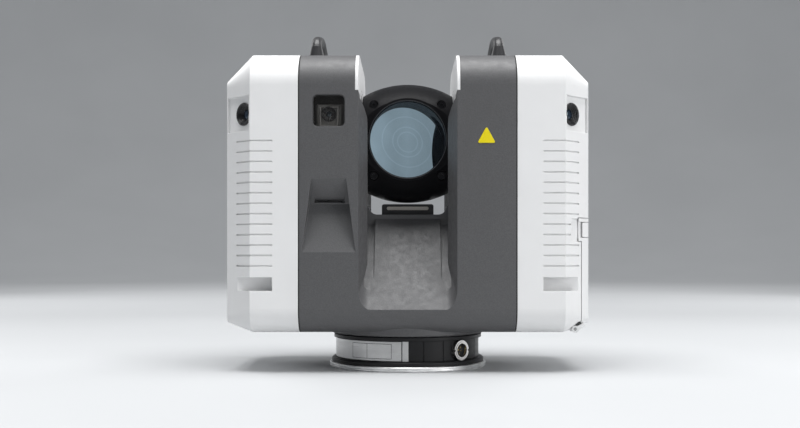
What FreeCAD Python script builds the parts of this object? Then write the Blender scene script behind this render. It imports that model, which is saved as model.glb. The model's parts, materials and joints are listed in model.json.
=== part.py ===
import FreeCAD, Part
import math
import os
import re
import Sketcher
from FreeCAD import Placement, Rotation, Vector

# Terrestrial laser scanner. Origin: middle of the base ring's lower face, on the azimuth axis.
# +Z up, -Y is the front (the side that the scanning window faces at rest), +X its right.

DIMENSIONS = {
    # turning body, outside
    "body_half_width": 120, "body_half_depth": 60, "body_bottom": 26, "body_top": 210,
    "top_radius": 22, "bottom_radius": 16, "corner_chamfer": 17.5, "belly_rise": 6,
    "belly_end_radius": 5, "seam_x": 70.4, "seal_thickness": 0.8,
    "cover_wall": 2.5, "casting_wall": 3, "skirt_radius": 53, "skirt_bottom": 23.2,
    # space between the towers
    "gap_half_width": 32.1, "gap_corner": 8, "saddle_top": 105, "saddle_half_depth": 14,
    "ramp_foot": 41.4, "ramp_head": 102, "liner_thickness": 2, "liner_foot_depth": 36.5,
    "lip_thickness": 0.7, "cheek_half_gap": 27, "web_radius": 6, "cheek_top": 184,
    "cheek_shoulder": 169, "cheek_rounding": 12, "cheek_setback": 1.2, "valley_start": 22.5,
    "valley_depth": 4, "valley_foot_y": 50, "block_half_width": 18, "block_half_depth": 8,
    "block_height": 7.4, "strip_half_length": 14.5, "strip_height": 2.5, "strip_level": 3.2,
    "strip_corner": 1.2, "strip_seat_depth": 0.8, "room_wall": 2, "room_corner": 9,
    "boss_radius": 24, "boss_end": 46,
    # rotor
    "axis_height": 155, "drum_half_width": 31, "drum_edge": 33.1, "drum_apex": 50.5,
    "drum_crown": 62.5, "window_plane": 31.5, "window_radius": 26, "optics_radius": 25.5,
    "beam_radius": 20, "mirror_edge": 17.4, "mirror_edge_radius": 70, "mirror_edge_drop": 4,
    "mirror_thickness": 4, "rotor_screw_x": 23, "rotor_screw_z": 24, "rotor_screw_seat": 24.3,
    "counterbore_radius": 3.1, "bezel_width": 1.8, "bezel_stand_out": 0.4, "bezel_depth": 2.4,
    "window_thickness": 2, "screw_thread": 1.5, "screw_head": 2.5, "screw_drive": 1.2,
    # spindle, its bearings, motor and encoder
    "spindle_radius": 12, "spindle_hole": 14, "beam_shaft_bore": 10, "beam_shaft_end": 45.4,
    "bearing_near": 38, "bearing_far": 45, "bearing_radius": 18, "race_inner": 13.2,
    "race_outer": 16, "spindle_ball": 1.3, "spindle_ball_circle": 14.6, "motor_shaft_end": 62,
    "motor_shaft_radius": 8, "rotor_magnet_radius": 16, "rotor_stator_inner": 17,
    "rotor_stator_outer": 26, "encoder_radius": 20, "encoder_near": 60, "encoder_far": 61.2,
    # cameras and markings
    "camera_x": 51.3, "upper_camera_height": 170.6, "window_side": 21, "window_corner": 3.5,
    "recess_top": 128, "recess_bottom": 76, "recess_depth": 11.6, "recess_inner_height": 110.5,
    "recess_top_half": 11.1, "recess_bottom_half": 17.7, "pane_half": 10, "pane_low": 1,
    "pane_high": 20, "pane_sunk": 1.5, "pane_ledge": 1.8, "pocket_floor": 4.2,
    "tube_radius": 5.2, "upper_tube_radius": 4.8, "board_half": 11,
    "board_thickness": 1.6, "camera_board_y": 45, "camera_post_radius": 1.5,
    "corner_camera_height": 169, "corner_camera_x": 108.2, "corner_camera_radius": 7.5,
    "corner_lens_radius": 4, "corner_lens_ball": 6, "barrel_length": 9, "barrel_setback": 0.6,
    "plate_x": 51.1, "plate_height": 154.8, "plate_side": 12, "plate_foot": 5.2, "plate_tip": 5.6,
    "plate_corner": 0.8, "plate_stand_out": 0.25,
    # cover details
    "groove_count": 13, "groove_top": 151.1, "groove_pitch": 6.77, "groove_width": 0.9,
    "groove_depth": 0.8, "groove_start": 88, "groove_end": 112.3, "short_groove_end": 106,
    "grip_bottom": 53.7, "grip_top": 62.5, "grip_depth": 9.5, "door_edge_x": 114.7,
    "tab_edge_x": 112.2, "latch_edge_x": 115.1, "door_top": 101.2, "tab_bottom": 86, "door_gap": 0.4,
    "hinge_x": 110.5, "hinge_height": 28.1, "knuckle_radius": 2.3, "hinge_pin_radius": 1,
    "knuckle_outer": 47.5, "knuckle_inner": 40, "latch_low": 88.8, "latch_high": 98.4,
    "trunnion_radius": 0.8, "trunnion_x": 118.6, "trunnion_y": 32, "scoop_depth": 1.4,
    "button_radius": 6, "button_height": 78, "collar_width": 1.4, "display_half": 36,
    "display_low": 96, "display_high": 148, "display_face": 119.9, "display_back": 118.5,
    "bezel_edge": 6, "bezel_sill": 5, "pocket_low": 157.8, "pocket_high": 180.8,
    "pocket_start": 103.2, "pocket_end": 119.3, "pocket_depth": 1.7, "seal_half": 40,
    "seal_low": 38, "seal_high": 84, "seal_width": 2,
    # carrying handles
    "handle_x": 61.5, "handle_half_length": 30, "handle_radius": 3.5, "handle_shoulder": 221,
    "handle_crest": 227, "handle_foot_radius": 5.5, "handle_foot_height": 8,
    "handle_bend": 9, "handle_arch": 40, "handle_screw_radius": 1.8, "handle_screw_head": 3.5,
    "handle_screw_height": 3.4,
    # inside the towers
    "laser_near": 46, "laser_far": 92, "laser_half": 24, "laser_low": 22, "laser_window": 10,
    "board_x": 66, "board_posts": 2.5, "bay_end": 103, "bay_half": 41, "bay_wall": 3,
    "bay_top": 98, "bay_floor": 32, "battery_height": 29.5, "shelf_low": 62.5,
    "battery_near": 47, "battery_gap": 0.5,
    # base
    "ring_radius": 54.6, "ring_height": 3.4, "flange_radius": 53, "flange_top": 6.5,
    "ring_inner_radius": 37.5, "housing_radius": 49.7, "housing_inner": 46,
    "housing_shoulder": 20.2, "lip_radius": 51.5, "base_top": 22.5, "plate_thickness": 0.5,
    "socket_angle": 43.5, "socket_height": 13.3, "socket_bore": 4.6, "socket_shell_radius": 5.5,
    "socket_mouth": 52.8, "insert_face": 49.4, "nut_seat": 49.2,
    "socket_nut_radius": 6.7, "thread_radius": 7.94, "thread_depth": 10, "bushing_radius": 11.5,
    "azimuth_shaft_radius": 12, "azimuth_shaft_bore": 8, "azimuth_shaft_foot": 12.5,
    "azimuth_flange_radius": 24, "azimuth_flange_low": 29, "azimuth_flange_top": 33,
    "azimuth_race_low": 13, "azimuth_race_top": 21, "azimuth_race_inner": 13.6,
    "azimuth_race_outer": 16.6, "azimuth_bearing_radius": 18.2, "azimuth_ball": 1.4,
    "azimuth_ball_circle": 15.1, "magnet_inner": 27, "magnet_outer": 31, "magnet_low": 10,
    "stator_inner": 31.6, "stator_outer": 40, "stator_top": 18, "disc_inner": 21.5,
    "disc_outer": 26, "disc_low": 21.8, "slip_inner": 5.5, "slip_low": 16, "slip_top": 30,
    "slip_post_radius": 4.5, "bushing_top": 11, "collar_radius": 20.5, "base_screw_circle": 42,
    "socket_root": 40.6, "contact_radius": 0.45, "contact_circle": 2.6, "strip_low": 7,
    "strip_top": 19.8, "strip_end_angle": -4.8,
}

doc = FreeCAD.newDocument("terrestrial_laser_scanner")
sheet = doc.addObject("Spreadsheet::Sheet", "dims")
for row, (alias, number) in enumerate(DIMENSIONS.items(), start=1):
    sheet.set(f"A{row}", alias)
    sheet.set(f"B{row}", str(number))
    sheet.setAlias(f"B{row}", alias)
doc.recompute()

ALIAS_PATTERN = re.compile(r"\b(" + "|".join(DIMENSIONS) + r")\b")
AXES = {
    "x": Rotation(Vector(0, 1, 0), 90),
    "y": Rotation(Vector(1, 0, 0), -90),
    "z": Rotation(),
}


# ---- helpers -------------------------------------------------------------------------------

def value(expression):
    """The number that an expression in the sheet's aliases stands for."""
    return float(sheet.evalExpression(str(expression)))


def bind(thing, prop, expression):
    """Bind a property to an expression in the sheet's aliases."""
    thing.setExpression(prop, ALIAS_PATTERN.sub(r"dims.\1", str(expression)))


def bind_base(thing, base):
    for axis, expression in zip("xyz", base):
        bind(thing, f"Placement.Base.{axis}", expression)


def corner_arc(before, corner, after, radius):
    """Tangent arc at a corner: centre, tangent points towards both neighbours, turn to the left."""
    back = (before - corner).normalize()
    ahead = (after - corner).normalize()
    half = back.getAngle(ahead) / 2
    reach = radius / math.tan(half)
    middle = (back + ahead).normalize()
    centre = corner + middle * (radius / math.sin(half))
    left_turn = back.cross(ahead).z < 0
    return centre, corner + back * reach, corner + ahead * reach, left_turn


def add_arc(sketch, centre, start, end, left_turn, radius):
    """Arc of a sketch, and which of its ends is the start of the turn."""
    circle = Part.Circle(centre, Vector(0, 0, 1), radius)
    first, last = (start, end) if left_turn else (end, start)
    angles = [math.atan2(p.y - centre.y, p.x - centre.x) for p in (first, last)]
    arc = sketch.addGeometry(Part.ArcOfCircle(circle, angles[0], angles[1]))
    return arc, (1, 2) if left_turn else (2, 1)


def place_point(sketch, geometry, position, across, up):
    for kind, expression in (("DistanceX", across), ("DistanceY", up)):
        index = sketch.addConstraint(
            Sketcher.Constraint(kind, geometry, position, value(expression)))
        bind(sketch, f"Constraints[{index}]", expression)


def new_sketch(body, name, role, offset):
    """Empty sketch on one of the body's own origin planes, shifted along the plane's normal."""
    sketch = body.newObject("Sketcher::SketchObject", name)
    plane = next(f for f in body.Origin.OriginFeatures if f.Role == role)
    sketch.AttachmentSupport = [(plane, "")]
    sketch.MapMode = "FlatFace"
    bind(sketch, "AttachmentOffset.Base.z", offset)
    return sketch


def draw(body, name, role, corners, offset="0", closed=True):
    """Sketch of straight sides; a corner is (across, up) or, when rounded, (across, up, radius)."""
    sketch = new_sketch(body, name, role, offset)
    points = [Vector(value(c[0]), value(c[1]), 0) for c in corners]
    count = len(points)
    starts = list(points)
    ends = list(points)
    arcs = {}
    for i, corner in enumerate(corners):
        if len(corner) == 3:
            turn = corner_arc(points[i - 1], points[i], points[(i + 1) % count], value(corner[2]))
            arcs[i] = turn
            ends[i] = turn[1]
            starts[i] = turn[2]
    sides = count if closed else count - 1
    for i in range(sides):
        sketch.addGeometry(Part.LineSegment(starts[i], ends[(i + 1) % count]))
    for i, (across, up, *radius) in enumerate(corners):
        side_in = i - 1 if i else (sides - 1 if closed else None)
        side_out = i if i < sides else None
        if not radius:
            if side_in is not None and side_out is not None:
                sketch.addConstraint(Sketcher.Constraint("Coincident", side_in, 2, side_out, 1))
            place_point(sketch, side_in if side_out is None else side_out,
                        2 if side_out is None else 1, across, up)
            continue
        centre, start, end, left_turn = arcs[i]
        arc, (first, last) = add_arc(sketch, centre, start, end, left_turn, value(radius[0]))
        sketch.addConstraint(Sketcher.Constraint("Tangent", side_in, 2, arc, first))
        sketch.addConstraint(Sketcher.Constraint("Tangent", arc, last, side_out, 1))
        index = sketch.addConstraint(Sketcher.Constraint("Radius", arc, value(radius[0])))
        bind(sketch, f"Constraints[{index}]", radius[0])
        point = sketch.addGeometry(Part.Point(points[i]), True)
        place_point(sketch, point, 1, across, up)
        sketch.addConstraint(Sketcher.Constraint("PointOnObject", point, 1, side_in))
        sketch.addConstraint(Sketcher.Constraint("PointOnObject", point, 1, side_out))
    return sketch


def prism(name, role, corners, low, high):
    """Body with an outline padded from low to high along the axis normal to its plane."""
    body = doc.addObject("PartDesign::Body", name)
    start = f"-({high})" if role == "XZ_Plane" else low
    sketch = draw(body, name + "_outline", role, corners, start)
    pad = body.newObject("PartDesign::Pad", name + "_pad")
    pad.Profile = sketch
    bind(pad, "Length", f"({high}) - ({low})")
    return body


def turned(name, corners, axis="Z_Axis"):
    """Body turned about Z, or about X; corners are (radius, height) or (along, radius)."""
    body = doc.addObject("PartDesign::Body", name)
    sketch = draw(body, name + "_section", "XZ_Plane", corners)
    turn = body.newObject("PartDesign::Revolution", name + "_turn")
    turn.Profile = sketch
    line = next(f for f in body.Origin.OriginFeatures if f.Role == axis)
    turn.ReferenceAxis = (line, [""])
    turn.Angle = 360
    return body


def washer(name, inner, outer, low, high):
    """Ring about Z between two radii."""
    return turned(name, [(inner, low), (outer, low), (outer, high), (inner, high)])


def spindle_washer(name, inner, outer, low, high):
    """Ring about the rotor's axis between two radii, from low to high in X."""
    body = turned(name, [(low, inner), (high, inner), (high, outer), (low, outer)], "X_Axis")
    bind(body, "Placement.Base.z", "axis_height")
    return body


def box(name, x, y, z):
    """Block between three pairs of coordinates."""
    block = doc.addObject("Part::Box", name)
    for prop, (low, high) in zip(("Length", "Width", "Height"), (x, y, z)):
        bind(block, prop, f"({high}) - ({low})")
    bind_base(block, [low for low, _ in (x, y, z)])
    return block


def cylinder(name, radius, length, base, rotation):
    """Cylinder that starts at base and runs along the rotated Z axis."""
    rod = doc.addObject("Part::Cylinder", name)
    rod.Placement = Placement(Vector(), rotation)
    bind(rod, "Radius", radius)
    bind(rod, "Height", length)
    bind_base(rod, base)
    return rod


def sphere(name, radius, base):
    ball = doc.addObject("Part::Sphere", name)
    bind(ball, "Radius", radius)
    bind_base(ball, base)
    return ball


def group(name, parts):
    """Several separate solids in one node."""
    gathered = doc.addObject("Part::Compound", name)
    gathered.Links = parts
    return gathered


def fuse(name, parts):
    joined = doc.addObject("Part::MultiFuse", name)
    joined.Shapes = parts
    joined.Refine = True
    return joined


def cut(name, base, tools):
    """The base less all the tools."""
    result = doc.addObject("Part::Cut", name)
    result.Base = base
    result.Tool = tools[0] if len(tools) == 1 else group(name + "_tools", tools)
    return result


def common(name, first, second):
    result = doc.addObject("Part::Common", name)
    result.Base = first
    result.Tool = second
    return result


def mirrored(name, source, normal):
    image = doc.addObject("Part::Mirroring", name)
    image.Source = source
    image.Normal = normal
    return image


def both_sides(name, source, normal=Vector(1, 0, 0)):
    """A piece and its mirror image."""
    return [source, mirrored(name, source, normal)]


def all_corners(name, source):
    """A piece at the front right, repeated at the other three corners."""
    pair = group(name + "_pair", both_sides(name + "_left", source))
    return [pair, mirrored(name + "_rear", pair, Vector(0, 1, 0))]


def ball_ring(name, count, ball_radius, circle_radius, height):
    """Balls of an azimuth bearing, evenly spaced on a circle."""
    balls = []
    for i in range(count):
        angle = math.radians(360 * i / count)
        base = (f"({circle_radius}) * {math.cos(angle):.5f}",
                f"({circle_radius}) * {math.sin(angle):.5f}", height)
        balls.append(sphere(f"{name}_{i}", ball_radius, base))
    return balls


RIGHT = Vector(1, 0, 0)
REAR = Vector(0, 1, 0)
# Direction straight into the body from its front right corner chamfer.
CORNER_IN = Rotation(Vector(0, 0, 1), Vector(-1, 1, 0))


# ---- turning body: outer envelope ---------------------------------------------------------------

def end_outline(depth, low, high, lower, upper):
    """Rounded outline between two heights, lower and upper corners with a radius each."""
    return [(f"-({depth})", low, lower), (depth, low, lower),
            (depth, high, upper), (f"-({depth})", high, upper)]


def side_shape(name, inset):
    """Right end of the body from the seam outwards, with every outer face moved in by inset.

    A chamfer follows the whole rounded outline of the end, flatter along the belly.
    """
    shift = f"{inset} * (sqrt(2) - 1)"
    start = f"body_half_width - corner_chamfer - {shift}"
    body = doc.addObject("PartDesign::Body", name)
    girth = draw(body, name + "_girth", "YZ_Plane",
                 end_outline(f"body_half_depth - {inset}", f"body_bottom + {inset}",
                             f"body_top - {inset}", f"bottom_radius - {inset}",
                             f"top_radius - {inset}"), start)
    pad = body.newObject("PartDesign::Pad", name + "_pad")
    pad.Profile = girth
    pad.Reversed = True
    bind(pad, "Length", f"{start} - seam_x - seal_thickness")
    end = draw(body, name + "_end", "YZ_Plane",
               end_outline(f"body_half_depth - corner_chamfer - {shift}",
                           f"body_bottom + belly_rise + {inset} * 0.7",
                           f"body_top - corner_chamfer - {shift}", "belly_end_radius - " + shift,
                           f"top_radius - corner_chamfer - {shift}"),
               f"body_half_width - {inset}")
    loft = body.newObject("PartDesign::AdditiveLoft", name + "_chamfer")
    loft.Profile = girth
    loft.Sections = [end]
    loft.Ruled = True
    return body


def chamfer_pocket(name, start_x, end_x, depth, low, high):
    """Tool that sinks a patch of the front right corner chamfer by a depth, square to it."""
    offset = "body_half_width - corner_chamfer + body_half_depth"
    inward = f"{depth} / sqrt(2)"
    corners = [(f"{start_x} + 1", f"{start_x} - ({offset}) - 1"),
               (f"{end_x} + 1", f"{end_x} - ({offset}) - 1"),
               (f"{end_x} - {inward}", f"{end_x} - ({offset}) + {inward}"),
               (f"{start_x} - {inward}", f"{start_x} - ({offset}) + {inward}")]
    return prism(name, "XY_Plane", corners, low, high)


def grooves(name, short):
    """Thin horizontal slots of a cover, front and rear; short names the rows that end early."""
    slots = []
    for i in range(int(value("groove_count"))):
        end = "short_groove_end" if i in short else "groove_end"
        height = f"groove_top - {i} * groove_pitch"
        slots.append(box(f"{name}_{i}", ("groove_start", end), (-70, -40),
                         (f"{height} - groove_width / 2", f"{height} + groove_width / 2")))
    rows = group(name + "_rows", slots)
    return group(name + "_slots", both_sides(name + "_rear", rows, REAR))


outer_side = side_shape("outer_side", "0")
groove_core = side_shape("groove_core", "groove_depth")
cover_core = side_shape("cover_core", "cover_wall")
door_core = side_shape("door_core", "(cover_wall - 0.1)")

grip = box("grip", ("groove_start", "body_half_width - 6"), (-62, "grip_depth - body_half_depth"),
           ("grip_bottom", "grip_top"))
grip_wall = box("grip_wall", ("groove_start - cover_wall", "body_half_width - 3"),
                (-60, "grip_depth + cover_wall - body_half_depth"),
                ("grip_bottom - cover_wall", "grip_top + cover_wall"))
camera_pocket = chamfer_pocket("camera_pocket", "pocket_start", "pocket_end", "pocket_depth",
                               "pocket_low", "pocket_high")
camera_base = ("corner_camera_x + 2", "corner_camera_x + corner_chamfer - body_half_width"
               " - body_half_depth - 2", "corner_camera_height")
camera_hole = cylinder("camera_hole", "corner_camera_radius", 14, camera_base, CORNER_IN)
cavity = cut("cover_cavity", cover_core, both_sides("grip_wall_rear", grip_wall, REAR))
skin = cut("groove_skin", outer_side, [groove_core])
cover_blank = cut("cover_blank", outer_side, [cavity]
                  + both_sides("grip_rear", grip, REAR)
                  + both_sides("camera_pocket_rear", camera_pocket, REAR)
                  + both_sides("camera_hole_rear", camera_hole, REAR))


# ---- covers -----------------------------------------------------------------------------------

def make_left_cover():
    right_handed = cut("left_cover_grooved", cover_blank,
                       [common("left_grooves", skin, grooves("left_groove", ()))])
    recess = box("display_recess", ("display_back", "body_half_width + 1"),
                 ("-display_half", "display_half"), ("display_low", "display_high"))
    hole = cylinder("button_hole", "button_radius + 0.4", 10, (112, 0, "button_height"), AXES["x"])
    finished = cut("left_cover_right_handed", right_handed, [recess, hole])
    return mirrored("left_cover", finished, RIGHT)


def make_door_parts():
    """Battery door region: the side panel with its longer tab at the front edge."""
    panel = box("door_panel", ("door_edge_x", 121), (-60, 60), (20, "door_top"))
    tab = box("door_tab", ("tab_edge_x", 121), (-60, -30), ("tab_bottom", "door_top"))
    region = fuse("door_region", [panel, tab])
    panel_opening = box("door_panel_opening", ("door_edge_x - door_gap", 121), (-60.5, 60.5),
                        (20, "door_top + door_gap"))
    tab_opening = box("door_tab_opening", ("tab_edge_x - door_gap", 121), (-60.5, -29),
                      ("tab_bottom - door_gap", "door_top + door_gap"))
    return region, fuse("door_opening", [panel_opening, tab_opening])


def hinge_rod(name, radius, low, high):
    return cylinder(name, radius, f"({high}) - ({low})", ("hinge_x", low, "hinge_height"),
                    AXES["y"])


def make_right_cover(door_opening):
    scoop = chamfer_pocket("finger_scoop", 106.8, "tab_edge_x + 1", "scoop_depth", "tab_bottom",
                           "door_top - 0.4")
    lug_notch = box("lug_notch", ("hinge_x - 3", 121),
                    ("-(knuckle_outer + door_gap)", "-(knuckle_inner - door_gap)"), (24, 33))
    grooved = cut("right_cover_grooved", cover_blank,
                  [common("right_grooves", skin, grooves("right_groove", (8, 9)))])
    opened = cut("right_cover_opened", grooved,
                 [door_opening, scoop] + both_sides("lug_notch_rear", lug_notch, REAR))
    knuckle = hinge_rod("cover_knuckle", "knuckle_radius", "-(knuckle_inner - 0.8)", -30)
    joined = fuse("right_cover_knuckled",
                  [opened] + both_sides("cover_knuckle_rear", knuckle, REAR))
    bore = hinge_rod("hinge_bore", "hinge_pin_radius", -60, 60)
    return cut("right_cover", joined, [bore])


def make_battery_door(region):
    shell = cut("door_shell", outer_side, [door_core])
    panel = common("door_plate", shell, region)
    knuckle = hinge_rod("door_knuckle", "knuckle_radius", "-knuckle_outer", "-knuckle_inner")
    lug = prism("door_lug", "XZ_Plane",
                [("hinge_x + 0.4", 26.7), (116.5, 29.6), (116.5, 32.2), ("hinge_x + 0.4", 29.6)],
                "-knuckle_outer", "-knuckle_inner")
    arm = fuse("door_arm", [knuckle, lug])
    whole = fuse("door_with_arms", [panel] + both_sides("door_arm_rear", arm, REAR))
    bore = hinge_rod("door_bore", "hinge_pin_radius + 0.05", -60, 60)
    latch_slot = box("latch_slot", ("latch_edge_x - door_gap", 121), (-60, -29.6),
                     ("latch_low - door_gap", "latch_high + door_gap"))
    trunnion_bore = cylinder("latch_bore", "trunnion_radius + 0.05", "latch_high - latch_low + 4.4",
                             ("trunnion_x", "-trunnion_y", "latch_low - 2.2"), AXES["z"])
    finger_dip = chamfer_pocket("finger_dip", "tab_edge_x - 1", "latch_edge_x", "scoop_depth",
                                "latch_low - door_gap", "latch_high + door_gap")
    return cut("battery_door", whole, [bore, latch_slot, trunnion_bore, finger_dip])


def make_door_latch():
    """Spring-loaded catch in the door's tab, on two short trunnions."""
    shell = cut("latch_shell", outer_side, [door_core])
    window = box("latch_window", ("latch_edge_x", 121), (-60, -30), ("latch_low", "latch_high"))
    plate = common("latch_plate", shell, window)
    trunnion = cylinder("latch_trunnion", "trunnion_radius", "latch_high - latch_low + 2.8",
                        ("trunnion_x", "-trunnion_y", "latch_low - 1.4"), AXES["z"])
    return fuse("door_latch", [plate, trunnion])


def make_door_seal():
    outer = box("door_seal_outer", (116.2, 117.4), ("-seal_half", "seal_half"),
                ("seal_low", "seal_high"))
    inner = box("door_seal_inner", (115, 118), ("seal_width - seal_half", "seal_half - seal_width"),
                ("seal_low + seal_width", "seal_high - seal_width"))
    return cut("door_seal", outer, [inner])


def make_seal(name):
    """Flat gasket between the casting and a cover."""
    outer = end_outline("body_half_depth", "body_bottom", "body_top", "bottom_radius",
                        "top_radius")
    flat = prism(name + "_sheet", "YZ_Plane", outer, "seam_x", "seam_x + seal_thickness")
    return cut(name, flat, [tower_cavity(name + "_hole", 69, 73)])


def tower_cavity(name, low, high):
    """Room inside a tower of the casting, between two X coordinates."""
    corners = end_outline("body_half_depth - casting_wall", "body_bottom + casting_wall",
                          "body_top - casting_wall", "bottom_radius - casting_wall",
                          "top_radius - casting_wall")
    return prism(name, "YZ_Plane", corners, low, high)


# ---- casting that carries the towers -------------------------------------------------------------

RAMP_SLOPE = "(ramp_head - ramp_foot) / (body_half_depth - saddle_half_depth)"


def make_gap():
    """Space between the towers: open in front, behind and above, with a ramp on both sides."""
    beyond = "body_half_depth + 1"
    wedge = prism("gap_wedge", "YZ_Plane",
                  [(f"-({beyond})", f"ramp_foot - {RAMP_SLOPE}"),
                   ("-saddle_half_depth", "ramp_head"), ("-saddle_half_depth", "body_top + 2"),
                   (f"-({beyond})", "body_top + 2")], "-gap_half_width", "gap_half_width")
    doc.recompute()
    pad = wedge.Tip
    slanted = []
    for i, edge in enumerate(pad.Shape.Edges, start=1):
        run = edge.Vertexes[-1].Point - edge.Vertexes[0].Point
        if abs(run.y) > 10 and abs(run.z) > 10:
            slanted.append(f"Edge{i}")
    rounding = wedge.newObject("PartDesign::Fillet", "gap_rounding")
    rounding.Base = (pad, slanted)
    bind(rounding, "Radius", "gap_corner")
    middle = box("gap_middle", ("-gap_half_width", "gap_half_width"),
                 ("-saddle_half_depth", "saddle_half_depth"), ("saddle_top", "body_top + 2"))
    return [middle] + both_sides("gap_wedge_rear", wedge, REAR)


def make_cheek():
    """Front right cheek: a wedge that narrows the gap beside the rotor, with an S-shaped top."""
    plan = prism("cheek_plan", "XY_Plane",
                 [("gap_half_width + 2", "-body_half_depth + cheek_setback"),
                  ("gap_half_width", "-body_half_depth + cheek_setback"),
                  ("cheek_half_gap", "-liner_foot_depth"),
                  ("gap_half_width + 2", "-liner_foot_depth")], 38, "cheek_top")
    side = prism("cheek_side", "XZ_Plane",
                 [("cheek_half_gap", 36), ("gap_half_width + 2", 36),
                  ("gap_half_width + 2", "cheek_top"), ("gap_half_width", "cheek_top", "cheek_rounding"),
                  ("cheek_half_gap", "cheek_shoulder", "cheek_rounding")], -61, -30)
    return common("cheek", plan, side)


def liner_outline():
    """White lining of a tower: all of the top, and a foot down to the saddle beside the rotor."""
    return [("-body_half_depth", "body_top", "top_radius"), ("-body_half_depth", "cheek_top"),
            ("-liner_foot_depth", "cheek_top"), ("-liner_foot_depth", "saddle_top"),
            ("liner_foot_depth", "saddle_top"), ("liner_foot_depth", "cheek_top"),
            ("body_half_depth", "cheek_top"), ("body_half_depth", "body_top", "top_radius")]


def make_liner(name):
    plate = prism(name + "_plate", "YZ_Plane", liner_outline(),
                  "gap_half_width", "gap_half_width + liner_thickness")
    hole = cylinder(name + "_hole", "spindle_hole", 10, (30, 0, "axis_height"), AXES["x"])
    lip = box(name + "_lip", ("cheek_half_gap", "gap_half_width + 0.5"),
              ("liner_foot_depth - lip_thickness", "liner_foot_depth"),
              ("saddle_top + web_radius", "cheek_shoulder - 3"))
    flat = cut(name + "_flat", plate, [hole])
    return fuse(name, [flat] + both_sides(name + "_lip_rear", lip, REAR))


def square_outline(half, corner):
    """Square about the upper camera, mirrored to the left tower."""
    left = f"-camera_x - {half}"
    right = f"-camera_x + {half}"
    low = f"upper_camera_height - {half}"
    high = f"upper_camera_height + {half}"
    return [(left, low, corner), (right, low, corner), (right, high, corner), (left, high, corner)]


def recess_tool(name, front_top, inner, inner_height, front_bottom, top_half, bottom_half):
    """Wedge with a tilted upper face and flaring sides, for the lower camera."""
    section = prism(name + "_section", "YZ_Plane",
                    [("-body_half_depth - 1", front_top), (inner, inner_height),
                     ("-body_half_depth - 1", front_bottom)], "-camera_x - 24", "-camera_x + 24")
    front = prism(name + "_front", "XZ_Plane",
                  [(f"-camera_x - {top_half}", front_top),
                   (f"-camera_x - {bottom_half}", front_bottom),
                   (f"-camera_x + {bottom_half}", front_bottom),
                   (f"-camera_x + {top_half}", front_top)], -62, -30)
    return common(name, section, front)


def recess_tilt():
    """Turn from level to the recess's tilted upper face."""
    angle = math.atan2(value("recess_top - recess_inner_height"), value("recess_depth"))
    return Rotation(Vector(1, 0, 0), -math.degrees(angle))


def tilted(name, edge, first, last):
    """Block behind the recess's tilted upper face, between two depths.

    It is smaller than the camera's pane all round by the edge.
    """
    plate = doc.addObject("Part::Box", name)
    bind(plate, "Length", f"2 * (pane_half - {edge})")
    bind(plate, "Width", f"pane_high - pane_low - 2 * {edge}")
    bind(plate, "Height", f"({last}) - ({first})")
    corner = recess_tilt().multVec(Vector(0, value(f"pane_low + {edge}"), value(first)))
    plate.Placement = Placement(Vector(), recess_tilt())
    bind_base(plate, (f"-camera_x - pane_half + {edge}", f"-body_half_depth + {corner.y:.4f}",
                      f"recess_top + {corner.z:.4f}"))
    return plate


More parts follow.
